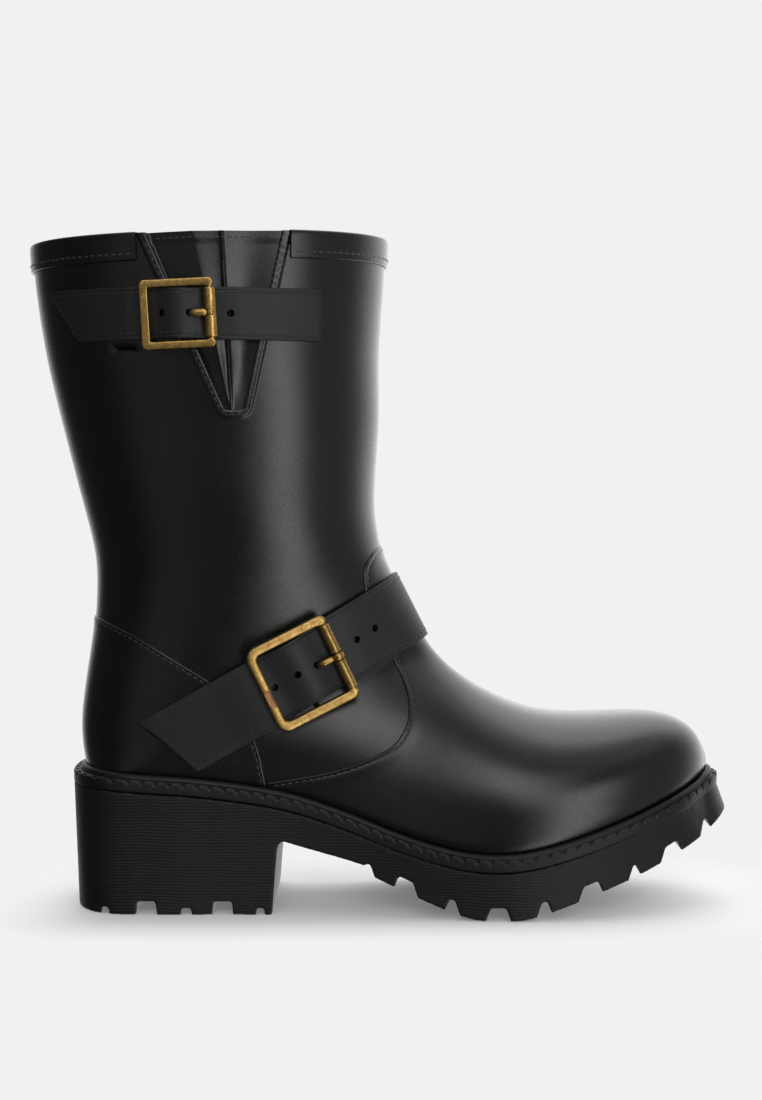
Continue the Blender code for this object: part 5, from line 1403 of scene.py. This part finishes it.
class Strap:
    """The fine strap: section lines along it, with thickness, waist and hump."""

    def __init__(self, rays, flat, buckled, axis_up, wide, thick, window, rise, waist, tail_slant, tail_thin, end_thin, close, trim=0.0):
        times = 12
        fine = strap_sections(FINE, dense(rays, times), axis_up, wide, close, 9, 12)
        rows = []
        for k, (a, b, n) in enumerate(fine):
            i = min(k // times, len(flat) - 2)
            f = (k - i * times) / times
            (a0, b0, n0), (a1, b1, n1) = flat[i], flat[i + 1]
            ca, cb, cn = a0.lerp(a1, f), b0.lerp(b1, f), n0.lerp(n1, f).normalized()
            far = ((ca + cb) / 2 - buckled.mid).length
            w = 1 - float(ease(window / 2 + 5.0, window / 2 + 24.0, far))
            rows.append([np.array(a.lerp(ca, w)), np.array(b.lerp(cb, w)), np.array(n.lerp(cn, w).normalized())])
        table = np.array(rows)                                   # rows x (low, high, normal) x 3
        for _ in range(30):
            table[1:-1] = (table[:-2] + 2 * table[1:-1] + table[2:]) / 4
        mids = (table[:, 0] + table[:, 1]) / 2
        d = np.concatenate([[0], np.cumsum(np.linalg.norm(np.diff(mids, axis=0), axis=1))])
        self.total = d[-1]
        self.d, self.table = d, table
        k = int(np.argmin(np.linalg.norm(mids - np.array(buckled.mid), axis=1)))
        self.centre = d[k]
        self.thick, self.window, self.rise, self.waist = thick, window, rise, waist
        self.slant, self.tail_thin, self.end_thin, self.wide, self.trim = tail_slant, tail_thin, end_thin, wide, trim

    def section(self, s):
        s = min(max(s, 0.0), self.total)
        a, b, n = (np.array([np.interp(s, self.d, self.table[:, r, c]) for c in range(3)]) for r in range(3))
        n = n / np.linalg.norm(n)
        r = self.rise * hump(s - self.centre, self.window / 2 - 1.6)
        f = self.waist * hump(s - self.centre, self.window / 2 + 3.0) ** 0.5 / 2
        a, b = a + n * r, b + n * r
        return a * (1 - f) + b * f, b * (1 - f) + a * f, n

    def depth(self, s):
        t = self.thick
        t = t - (self.thick - self.tail_thin) * (1 - float(ease(4.0, 46.0, s)))
        t = t - (self.thick - self.end_thin) * (1 - float(ease(1.0, 30.0, self.total - s)))
        return t

    def place(self, s, f, h):
        """Point at distance s along, f from low edge 0 to high edge 1, h above the inner face; the tail's slant included."""
        if self.slant:
            s = s + self.trim * max(0.0, 1 - s / 30.0)
            s = s + self.slant * (1 - f) * max(0.0, 1 - s / (3.0 * self.slant))
        a, b, n = self.section(s)
        crown = 0.0
        return a * (1 - f) + b * f + n * (h + crown)

    def rings(self, step=0.75):
        w = self.wide
        prof = [(0.10, 0.0), (0.0, 0.14), (0.0, 0.5), (0.0, 0.80), (0.09, 0.93), (0.32, 1.0), (0.8, 1.0), (1.1, 1.0), (1.32, 0.93), (1.55, 0.93), (1.78, 1.0), (2.3, 1.0), (4.0, 1.0), (6.5, 1.0), (w * 0.40, 1.0)]
        line = [(x / w, h) for x, h in prof] + [(0.5, 1.0)] + [(1 - x / w, h) for x, h in prof[::-1]]
        line += [(0.75, 0.0), (0.5, 0.0), (0.25, 0.0)]
        n = int(self.total / step)
        ss = [0.0, 0.12, 0.35] + [0.8 + (self.total - 1.6) * k / n for k in range(n + 1)] + [self.total - 0.35, self.total - 0.12, self.total]
        out = []
        for s in ss:
            t = self.depth(s)
            e = min(s, self.total - s)
            shrink = 0.30 + 0.70 * min(1.0, (e / 0.45)) ** 0.5
            out.append([self.place(s, f, h * t * shrink) for f, h in line])
        return out

    def stitch_row(self, from_low, from_high, s0, s1, pitch=3.0):
        """Places of stitches in a row along an edge."""
        pts, nrm = [], []
        for s in np.arange(s0, s1, 0.8):
            f = from_low / self.wide if from_low is not None else 1 - from_high / self.wide
            p = self.place(s, f, self.depth(s))
            pts.append(p)
            nrm.append(self.section(s)[2])
        pos, t = even(pts, pitch)
        pts = np.array(pts)
        return [(p, d, nrm[int(np.argmin(np.linalg.norm(pts - p, axis=1)))]) for p, d in zip(pos, t)]

    def cross_row(self, s, f0, f1, pitch=3.0):
        pts = [self.place(s, f, self.depth(s)) for f in np.linspace(f0, f1, 40)]
        pos, t = even(pts, pitch)
        n = self.section(s)[2]
        return [(p, d, n) for p, d in zip(pos, t)]


def capped(rings):
    """A strap's mesh; each of its two ends is closed with one face."""
    points, faces = tube(rings)
    faces = faces[:-2]
    m = len(rings[0])
    for base, flip in ((0, False), ((len(rings) - 1) * m, True)):
        top = list(range(0, 31))
        low = [0, 33, 32, 31, 30]
        faces.append(tuple(base + j for j in range(m)) if not flip else tuple(base + j for j in range(m))[::-1])
    return points, faces


def round_hole(name, o, t, up, n, r, lo, hi, count=28):
    o, t, up, n = (np.array(v, float) for v in (o, t, up, n))
    return raw(name, *tube([[o + t * (q * math.cos(2 * math.pi * j / count)) + up * (q * math.sin(2 * math.pi * j / count)) + n * v for j in range(count)] for v, q in ((lo, r), (hi, r))]))


def punched(strap_ob, strap, buckled, places, tip, r):
    cutters = []
    for k, (ds, used) in enumerate(places):
        s = strap.centre + ds
        a, b, n = strap.section(s)
        o = (a + b) / 2
        a2, b2, _ = strap.section(s + 1.0)
        t = (a2 + b2) / 2 - o
        t /= np.linalg.norm(t)
        up = (b - a) / np.linalg.norm(b - a)
        if used:
            q = np.array(tip) - o
            o = o + up * q.dot(up) + t * q.dot(t)
        cutters.append(round_hole(f"{strap_ob.name}_cut_{k}", o, t, up, n, r, -4.0, 8.0))
    combine(strap_ob, cutters, "DIFFERENCE")


def finish_mesh(ob, mat, replaces, angle, body="boot"):
    ob.data.materials.clear()
    ob.data.materials.append(mat)
    ob.data.shade_smooth()
    ob.data.set_sharp_from_angle(angle=math.radians(angle))
    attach(ob, body)
    if replaces:
        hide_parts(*replaces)


calf_line = Strap(CALF_RAYS, calf_flat, calf, (0, 0, 1), CALF_STRAP_WIDE, CALF_STRAP_THICK, 26.0, 3.0, 0.05, 17.5, 1.5, 1.7, 0.15, trim=5.0)
ankle_line = Strap(ANKLE_RAYS, ankle_flat, ankle, E3, ANKLE_STRAP_WIDE, ANKLE_STRAP_THICK, 30.6, 3.0, 0.085, 10.5, 1.15, 1.6, 0.15)
calf_ob = raw("calf_strap_band", *capped(calf_line.rings()))
punched(calf_ob, calf_line, calf, [(13.0 - 8.3 + d, d == 0.0) for d in (-11.0, 0.0, 15.3)], calf.at(13.0 - 7.9, 0, 0), 1.5)
finish_mesh(calf_ob, STRAP_MAT, ("calf_strap",), 40)
ankle_ob = raw("ankle_strap_band", *capped(ankle_line.rings()))
punched(ankle_ob, ankle_line, ankle, [(15.3 - 8.7 + d, d == 0.0) for d in (-19.6, -9.2, 0.0, 18.9, 28.3)], ankle.at(15.3 - 8.6, 0, 0), 1.5)
finish_mesh(ankle_ob, STRAP_MAT, ("ankle_strap",), 40)

rows = []
for low, high in ((2.2, None), (None, 2.2)):
    rows += calf_line.stitch_row(low, high, 4.0 if low is None else 3.0, calf_line.total - 3.0, 2.9)
rows += calf_line.cross_row(calf_line.total - 3.0, 0.12, 0.88, 2.9) + calf_line.cross_row(2.2, 0.16, 0.9, 2.9)
piece("calf_strap_stitching", *stitches(rows, 1.9, 0.62, 0.26), STRAP_TRIM_MAT, slot="strap_rubber", angle=60)
rows = []
for low, high in ((2.3, None), (None, 2.3)):
    rows += ankle_line.stitch_row(low, high, 4.0, ankle_line.total - 3.0, 3.0)
rows += ankle_line.cross_row(ankle_line.total - 3.0, 0.1, 0.9, 3.0) + ankle_line.cross_row(2.4, 0.12, 0.9, 3.0)
piece("ankle_strap_stitching", *stitches(rows, 2.0, 0.66, 0.28), STRAP_TRIM_MAT, slot="strap_rubber", angle=60)


# ---------------------------------------------------------------- buckles
def rounded_path(hx0, hx1, hy, r_right, r_left, corner, sides):
    """A rounded rectangle, anticlockwise from the lower end of its right side; sides gives the number of points on each straight side."""
    pts = []
    spec = ((hx1, hy, r_right, 0), (-hx0, hy, r_left, 90), (-hx0, -hy, r_left, 180), (hx1, -hy, r_right, 270))
    for k, (x, y, r, a0) in enumerate(spec):
        px, py, pr, pa = spec[k - 1]
        cx, cy = x - math.copysign(r, x), y - math.copysign(r, y)
        arc = [(cx + r * math.cos(math.radians(a0 + 90 * i / corner)), cy + r * math.sin(math.radians(a0 + 90 * i / corner))) for i in range(corner + 1)]
        qx, qy = px - math.copysign(pr, px), py - math.copysign(pr, py)
        start = (qx + pr * math.cos(math.radians(a0)), qy + pr * math.sin(math.radians(a0)))
        n = sides[k]
        pts += [(start[0] + (arc[0][0] - start[0]) * i / n, start[1] + (arc[0][1] - start[1]) * i / n) for i in range(1, n)]
        pts += arc
    return pts


def buckle_frame(where, long, tall, half_x, half_y, high, bar_r, bar_half, radii, e_frame, around=28, extra=0.0):
    """A cast frame: its section runs between matched outer and inner outlines; the right side thins to a round bar."""
    ro_r, ri_r, ro_l, ri_l = radii
    sides, corner = (56, 26, 22, 26), 12
    outer = rounded_path(long / 2 + half_x + extra, long / 2 + half_x, tall / 2 + half_y, ro_r, ro_l, corner, sides)
    inner = rounded_path(long / 2 - half_x + extra, long / 2 - half_x, tall / 2 - half_y, ri_r, ri_l, corner, sides)
    rings = []
    for k, ((xo, yo), (xi, yi)) in enumerate(zip(outer, inner)):
        bar = float(1 - ease(bar_half - 0.1, bar_half + 0.9, abs((yo + yi) / 2))) if xi > 0 and xo > long / 2 else 0.0
        xo, xi = xo + (long / 2 + bar_r - xo) * bar, xi + (long / 2 - bar_r - xi) * bar
        yo, yi = yo + ((yo + yi) / 2 - yo) * bar, yi + ((yo + yi) / 2 - yi) * bar
        h = high + (2 * bar_r - high) * bar
        e = e_frame + (1.0 - e_frame) * bar
        cast_ = 1 + 0.012 * math.sin(k * 0.21) + 0.010 * math.sin(k * 0.47 + 1)
        ring_pts = []
        for q in range(around):
            a = 2 * math.pi * q / around
            c, s = math.cos(a), math.sin(a)
            cx, cz = math.copysign(abs(c) ** e, c), math.copysign(abs(s) ** e, s)
            mx, my = (xo + xi) / 2, (yo + yi) / 2
            ring_pts.append(where(mx + (xo - xi) / 2 * cx * cast_, my + (yo - yi) / 2 * cx * cast_, high / 2 + h / 2 * cz))
        rings.append(ring_pts)
    return tube(rings, closed=True)


def rod(where, path, radius, around=18, squash=1.0):
    """A rod through (x, y, z) points in the buckle's own axes, with rounded ends."""
    pts = curve_through(path, 0.28)
    n = len(pts)
    rings = []
    t = np.gradient(pts, axis=0)
    t /= np.linalg.norm(t, axis=1, keepdims=True)
    side = np.array([1.0, 0.0, 0.0]) if abs(t[n // 2][0]) < 0.7 else np.array([0.0, 1.0, 0.0])
    for k in range(n):
        b = np.cross(t[k], side)
        b /= np.linalg.norm(b)
        a = np.cross(b, t[k])
        r = radius(k / (n - 1)) if callable(radius) else radius
        rings.append([where(*(pts[k] + a * r * math.cos(q) * squash + b * r * math.sin(q))) for q in np.linspace(0, 2 * math.pi, around, endpoint=False)])
    for end, s in ((0, -1), (-1, 1)):
        r = radius(0.0 if end == 0 else 1.0) if callable(radius) else radius
        tip = []
        for q in (0.45, 0.8, 0.97):
            k = end
            b = np.cross(t[k], side)
            b /= np.linalg.norm(b)
            a = np.cross(b, t[k])
            rr = r * math.sqrt(1 - q * q)
            tip.append([where(*(pts[k] + t[k] * s * q * r * 0.6 + a * rr * math.cos(w) * squash + b * rr * math.sin(w))) for w in np.linspace(0, 2 * math.pi, around, endpoint=False)])
        rings = tip[::-1] + rings if end == 0 else rings + tip
    return tube(rings)


def lathe(where, x, z, profile, around=56):
    """A closed shape turned about the bar's axis: profile is (y, radius) round its section."""
    rings = [[where(x + r * math.cos(a), y, z + r * math.sin(a)) for y, r in profile] for a in np.linspace(0, 2 * math.pi, around, endpoint=False)]
    return tube(rings, closed=True)


def roller_profile(y0, y1, r_in, r_out):
    k = 1 if y1 > y0 else -1
    return [(y0, r_in), (y0, r_out - 0.28), (y0 + 0.10 * k, r_out - 0.06), (y0 + 0.32 * k, r_out + 0.06), (y0 + 0.62 * k, r_out + 0.05), (y0 + 0.95 * k, r_out - 0.07), (y0 + 1.5 * k, r_out - 0.11),
            ((y0 + y1) / 2, r_out - 0.12),
            (y1 - 1.5 * k, r_out - 0.11), (y1 - 0.95 * k, r_out - 0.07), (y1 - 0.62 * k, r_out + 0.05), (y1 - 0.32 * k, r_out + 0.06), (y1 - 0.10 * k, r_out - 0.06), (y1, r_out - 0.28), (y1, r_in), ((y0 + y1) / 2, r_in)]


CALF_LONG, CALF_TALL, CALF_HIGH, BAR_R = 26.0, 24.2, 2.4, 1.1
CX, CZ = CALF_LONG / 2, CALF_HIGH / 2
parts = [buckle_frame(calf.at, CALF_LONG, CALF_TALL, 1.62, 1.47, CALF_HIGH, BAR_R, 10.1, (2.1, 0.55, 2.1, 0.55), 0.30)]
h = CALF_TALL / 2
parts.append(rod(calf.at, [(-0.5, h - 0.75, 1.2), (-0.5, h - 0.8, 0.2), (-0.5, h - 1.0, -1.0), (-0.5, h - 1.9, -1.95), (-0.5, h - 4.0, -2.05), (-0.5, 0, -2.05), (-0.5, -h + 4.0, -2.05), (-0.5, -h + 1.9, -1.95), (-0.5, -h + 1.0, -1.0), (-0.5, -h + 0.8, 0.2), (-0.5, -h + 0.75, 1.2)], 0.85))
piece("calf_buckle_cast_frame", *merge(parts), BRASS_MAT, slot="buckle_brass", replaces=("calf_buckle_frame",), angle=42)


def calf_sleeve():
    r_in, r_out = BAR_R + 0.95, BAR_R + 1.4
    ys = np.concatenate([np.linspace(-9.6, -1.5, 26), np.linspace(-1.4, 1.4, 15), np.linspace(1.5, 9.6, 26)])
    n = 64
    pts, nrm, hgt = [], [], []
    for y in ys:
        for k in range(n):
            a = 2 * math.pi * k / n
            e = 9.6 - abs(y)
            pts.append(np.array(calf.at(CX + r_in * math.cos(a), y, CZ + r_in * math.sin(a))))
            nrm.append(np.array(calf.t) * math.cos(a) + np.array(calf.n) * math.sin(a))
            hgt.append((r_out - r_in) * (1 - 0.45 * (1 - float(ease(0.0, 0.35, e)))) + 0.03 * math.exp(-(((e - 0.5) / 0.3) ** 2)))
    faces = []
    for i in range(len(ys) - 1):
        for k in range(n):
            a = math.degrees(2 * math.pi * (k + 0.5) / n)
            open_ = abs((ys[i] + ys[i + 1]) / 2) < 1.25 and 62 < a < 222
            if not open_:
                j = (k + 1) % n
                faces.append([i * n + k, i * n + j, (i + 1) * n + j, (i + 1) * n + k])
    hgt = np.array(hgt)
    return sheet_solid(np.array(pts), np.array(nrm), faces, hgt, hgt)


piece("calf_buckle_bar_sleeve", *calf_sleeve(), BRASS_MAT, slot="buckle_brass", replaces=("calf_buckle_sleeve",), angle=42)


def prong(where, x, z, half, r_in, r_out, reach, dip, thick, start, flat):
    loop = [(-half, r_in), (-half, r_out - 0.22), (-half + 0.08, r_out - 0.08), (-half + 0.28, r_out), (half - 0.28, r_out), (half - 0.08, r_out - 0.08), (half, r_out - 0.22), (half, r_in)]
    path = [(x - start, 0, z + 0.30), (x - reach * 0.30, 0, z + 0.62), (x - reach * 0.52, 0, z + 0.72), (x - reach * 0.76, 0, z + 0.50), (x - reach * 0.93, 0, z - dip * 0.3), (x - reach, 0, z - dip)]
    return merge([lathe(where, x, z, loop, 44), rod(where, path, lambda f: thick / 2 * (1.0 - 0.30 * float(ease(0.45, 1.0, f))), 20, flat)])


piece("calf_buckle_pin", *prong(calf.at, CX, CZ, 1.15, BAR_R + 0.12, BAR_R + 0.84, 8.6, 1.5, 1.9, 1.55, 1.65), BRASS_MAT, body="calf_prong", slot="buckle_brass", replaces=("calf_buckle_prong",), angle=42)

ANKLE_LONG, ANKLE_TALL, ANKLE_HIGH, ANKLE_BAR_R, ANKLE_EXTRA = 30.6, 33.6, 3.2, 1.45, 1.9
AX, AZ = ANKLE_LONG / 2, ANKLE_HIGH / 2
parts = [buckle_frame(ankle.at, ANKLE_LONG, ANKLE_TALL, 1.98, 1.98, ANKLE_HIGH, ANKLE_BAR_R, 14.5, (3.0, 0.9, 5.2, 2.2), 0.58, extra=ANKLE_EXTRA)]
h = ANKLE_TALL / 2
parts.append(rod(ankle.at, [(-0.5, h - 0.95, 1.4), (-0.5, h - 1.0, 0.3), (-0.5, h - 1.6, -1.1), (-0.5, h - 3.0, -2.1), (-0.5, h - 5.8, -2.35), (-0.5, 0, -2.35), (-0.5, -h + 5.8, -2.35), (-0.5, -h + 3.0, -2.1), (-0.5, -h + 1.6, -1.1), (-0.5, -h + 1.0, 0.3), (-0.5, -h + 0.95, 1.4)], 0.9))
piece("ankle_buckle_cast_frame", *merge(parts), ANKLE_BRASS_MAT, slot="buckle_brass", replaces=("ankle_buckle_frame",), angle=42)
for tag, y0, y1 in (("upper", 1.8, 14.3), ("lower", -14.3, -1.8)):
    piece(f"ankle_buckle_roller_{tag}_tube", *lathe(ankle.at, AX, AZ, roller_profile(y0, y1, ANKLE_BAR_R + 0.15, ANKLE_BAR_R + 1.02)), ANKLE_BRASS_MAT, body=f"ankle_roller_{tag}", slot="buckle_brass", replaces=(f"ankle_buckle_roller_{tag}",), angle=42)
piece("ankle_buckle_pin", *prong(ankle.at, AX, AZ, 1.35, ANKLE_BAR_R + 0.12, ANKLE_BAR_R + 1.42, 9.0, 1.6, 2.2, 2.2, 1.3), ANKLE_BRASS_MAT, body="ankle_prong", slot="buckle_brass", replaces=("ankle_buckle_prong",), angle=42)


def inlay():
    cx, cy, hx, hy = -ANKLE_LONG / 2 - ANKLE_EXTRA, -3.3, 1.55, 3.9
    rings = []
    for z, k in ((ANKLE_HIGH - 0.5, 1.0), (ANKLE_HIGH + 0.16, 1.0), (ANKLE_HIGH + 0.30, 0.93), (ANKLE_HIGH + 0.33, 0.82), (ANKLE_HIGH + 0.24, 0.74), (ANKLE_HIGH + 0.22, 0.4), (ANKLE_HIGH + 0.22, 0.05)):
        pts = []
        for a in np.linspace(0, 2 * math.pi, 56, endpoint=False):
            c, s = math.cos(a), math.sin(a)
            inset = (1 - k) * 1.28
            pts.append(ankle.at(cx + max(hx - inset, 0.05) * math.copysign(abs(c) ** 0.35, c), cy + max(hy - inset, 0.05) * math.copysign(abs(s) ** 0.35, s), z))
        rings.append(pts)
    return tube(rings)


piece("ankle_buckle_plain_inlay", *inlay(), INLAY_MAT, slot="inlay_copper", replaces=("ankle_buckle_inlay",), angle=42)

# ---------------------------------------------------------------- hidden structure keeps the frame's own solids
for node, mat in (("insole_board", BOARD_MAT), ("shank", STEEL_MAT), ("heel_core", CORE_MAT)):
    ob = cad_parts[node]
    ob.data.materials.clear()
    ob.data.materials.append(mat)


# ---------------------------------------------------------------- stage: pale floor, soft light
PALE = 0.8796


def floor_material():
    """Pale floor: takes soft shadows close round the boot and is evenly bright further out."""
    m, nt, p = nodes_of("pale_floor")
    c = coords(nt)
    sep = nt.nodes.new("ShaderNodeSeparateXYZ")
    nt.links.new(c, sep.inputs[0])

    def beyond(value, middle, half):
        off = maths(nt, "ABSOLUTE", maths(nt, "SUBTRACT", value, middle), 0.0)
        return maths(nt, "MAXIMUM", maths(nt, "SUBTRACT", off, half), 0.0)

    dx, dy = beyond(sep.outputs[0], 0.096, 0.124), beyond(sep.outputs[1], 0.002, 0.036)
    away = maths(nt, "SQRT", maths(nt, "ADD", maths(nt, "MULTIPLY", dx, dx), maths(nt, "MULTIPLY", dy, dy)), 0.0)
    far = span(nt, away, 0.0, 1.0, 0.008, 0.044)
    grain = noise(nt, c, 900, 3, 0.6)
    nt.links.new(ramp(nt, grain, [(0.3, (FLOOR_PALE - 0.01,) * 3), (0.7, (FLOOR_PALE + 0.01,) * 3)]), p.inputs["Base Color"])
    p.inputs["Roughness"].default_value = 0.9
    p.inputs["Specular IOR Level"].default_value = 0.0
    p.inputs["Emission Color"].default_value = (1, 1, 1, 1)
    p.inputs["Emission Strength"].default_value = FLOOR_GLOW
    pure = nt.nodes.new("ShaderNodeEmission")
    pure.inputs["Color"].default_value = (1, 1, 1, 1)
    pure.inputs["Strength"].default_value = PALE
    mix = nt.nodes.new("ShaderNodeMixShader")
    nt.links.new(far, mix.inputs[0])
    nt.links.new(p.outputs[0], mix.inputs[1])
    nt.links.new(pure.outputs[0], mix.inputs[2])
    nt.links.new(mix.outputs[0], nt.nodes["Material Output"].inputs["Surface"])
    return m


FLOOR_GLOW, FLOOR_PALE = 0.15, 0.80
ring_pts = [(9.0 * math.cos(a), 9.0 * math.sin(a), -0.0002) for a in np.linspace(0, 2 * math.pi, 96, endpoint=False)]
mesh = bpy.data.meshes.new("floor")
mesh.from_pydata([(p[0], p[1], p[2]) for p in ring_pts], [], [tuple(range(96))])
floor = link("floor", mesh)
floor.data.materials.append(floor_material())
floor.visible_glossy = False
floor.visible_diffuse = False
floor.visible_shadow = False

# The studio is a surround of soft panels, given by azimuth (0 towards the camera, 90 towards the toe) and elevation in degrees.
PANELS = (
    # azimuth from, to, blur;  elevation from, to, blur;  radiance
    (45, 200, 10, -95, 95, 5, 0.32),         # toe side
    (112, 200, 24, -95, 95, 5, 1.50),        # behind, toe side
    (-200, -146, 18, -95, 95, 5, 1.30),      # behind, heel side
    (-200, 200, 5, 42, 95, 12, 0.50),        # above
    (22, 42, 4, -55, 15, 6, 3.40),           # tall softbox, front right
    (-13, 20, 6, 17, 43, 6, 3.10),           # softbox above the camera
    (-34, -11, 7, 12, 34, 7, 0.95),          # its left end
    (2, 25, 6, 3, 17, 5, 1.60),              # and its lower corner
    (-50, -14, 9, -32, 12, 9, 0.20),         # faint panel, front left
)
BASE_LIGHT = 0.07
world = bpy.data.worlds.new("studio")
bpy.context.scene.world = world
world.use_nodes = True
nt = world.node_tree
bg = nt.nodes["Background"]
gen = nt.nodes.new("ShaderNodeTexCoord").outputs["Generated"]
sep = nt.nodes.new("ShaderNodeSeparateXYZ")
nt.links.new(gen, sep.inputs[0])
azimuth = maths(nt, "MULTIPLY", maths(nt, "ARCTAN2", sep.outputs[0], maths(nt, "MULTIPLY", sep.outputs[1], -1.0)), 180 / math.pi)
elevation = maths(nt, "MULTIPLY", maths(nt, "ARCSINE", sep.outputs[2], 0.0), 180 / math.pi)


def smooth_step(value, lo, hi):
    n = nt.nodes.new("ShaderNodeMapRange")
    n.interpolation_type = "SMOOTHSTEP"
    n.inputs["From Min"].default_value = lo
    n.inputs["From Max"].default_value = hi
    nt.links.new(value, n.inputs["Value"])
    return n.outputs["Result"]


def within(value, lo, hi, blur):
    return maths(nt, "MULTIPLY", smooth_step(value, lo - blur, lo + blur), maths(nt, "SUBTRACT", 1.0, smooth_step(value, hi - blur, hi + blur)))


light = BASE_LIGHT
for a0, a1, ab, e0, e1, eb, strength in PANELS:
    light = maths(nt, "ADD", maths(nt, "MULTIPLY", maths(nt, "MULTIPLY", within(azimuth, a0, a1, ab), within(elevation, e0, e1, eb)), strength), light)
path = nt.nodes.new("ShaderNodeLightPath")
value = nt.nodes.new("ShaderNodeMix")
value.data_type = "FLOAT"
nt.links.new(path.outputs["Is Camera Ray"], value.inputs[0])
nt.links.new(light, value.inputs[2])
value.inputs[3].default_value = PALE
nt.links.new(value.outputs[0], bg.inputs["Color"])
bg.inputs["Strength"].default_value = 1.0


def area(name, place, look, wide, tall, radiance, colour=(1, 1, 1)):
    data = bpy.data.lights.new(name, "AREA")
    data.shape, data.size, data.size_y, data.energy, data.color = "RECTANGLE", wide, tall, radiance * math.pi * wide * tall, colour
    ob = link(name, data)
    ob.location = place
    ob.rotation_euler = (Vector(look) - Vector(place)).to_track_quat("-Z", "Y").to_euler()
    return ob


area("overhead_softbox", (0.10, 0.10, 1.30), (0.09, 0.0, 0.0), 0.9, 0.7, 0.55)

scene = bpy.context.scene
cam_data = bpy.data.cameras.new("camera")
cam = link("camera", cam_data)
cam.location = (0.0871, -0.810, 0.184)
cam.rotation_euler = (math.radians(90 - 2.556), 0, 0)
cam_data.lens = 36 * 1915 / 1100
cam_data.sensor_width = 36
cam_data.clip_end = 50
scene.camera = cam
scene.view_settings.view_transform = "Standard"
scene.view_settings.look = "None"

bpy.context.view_layer.update()
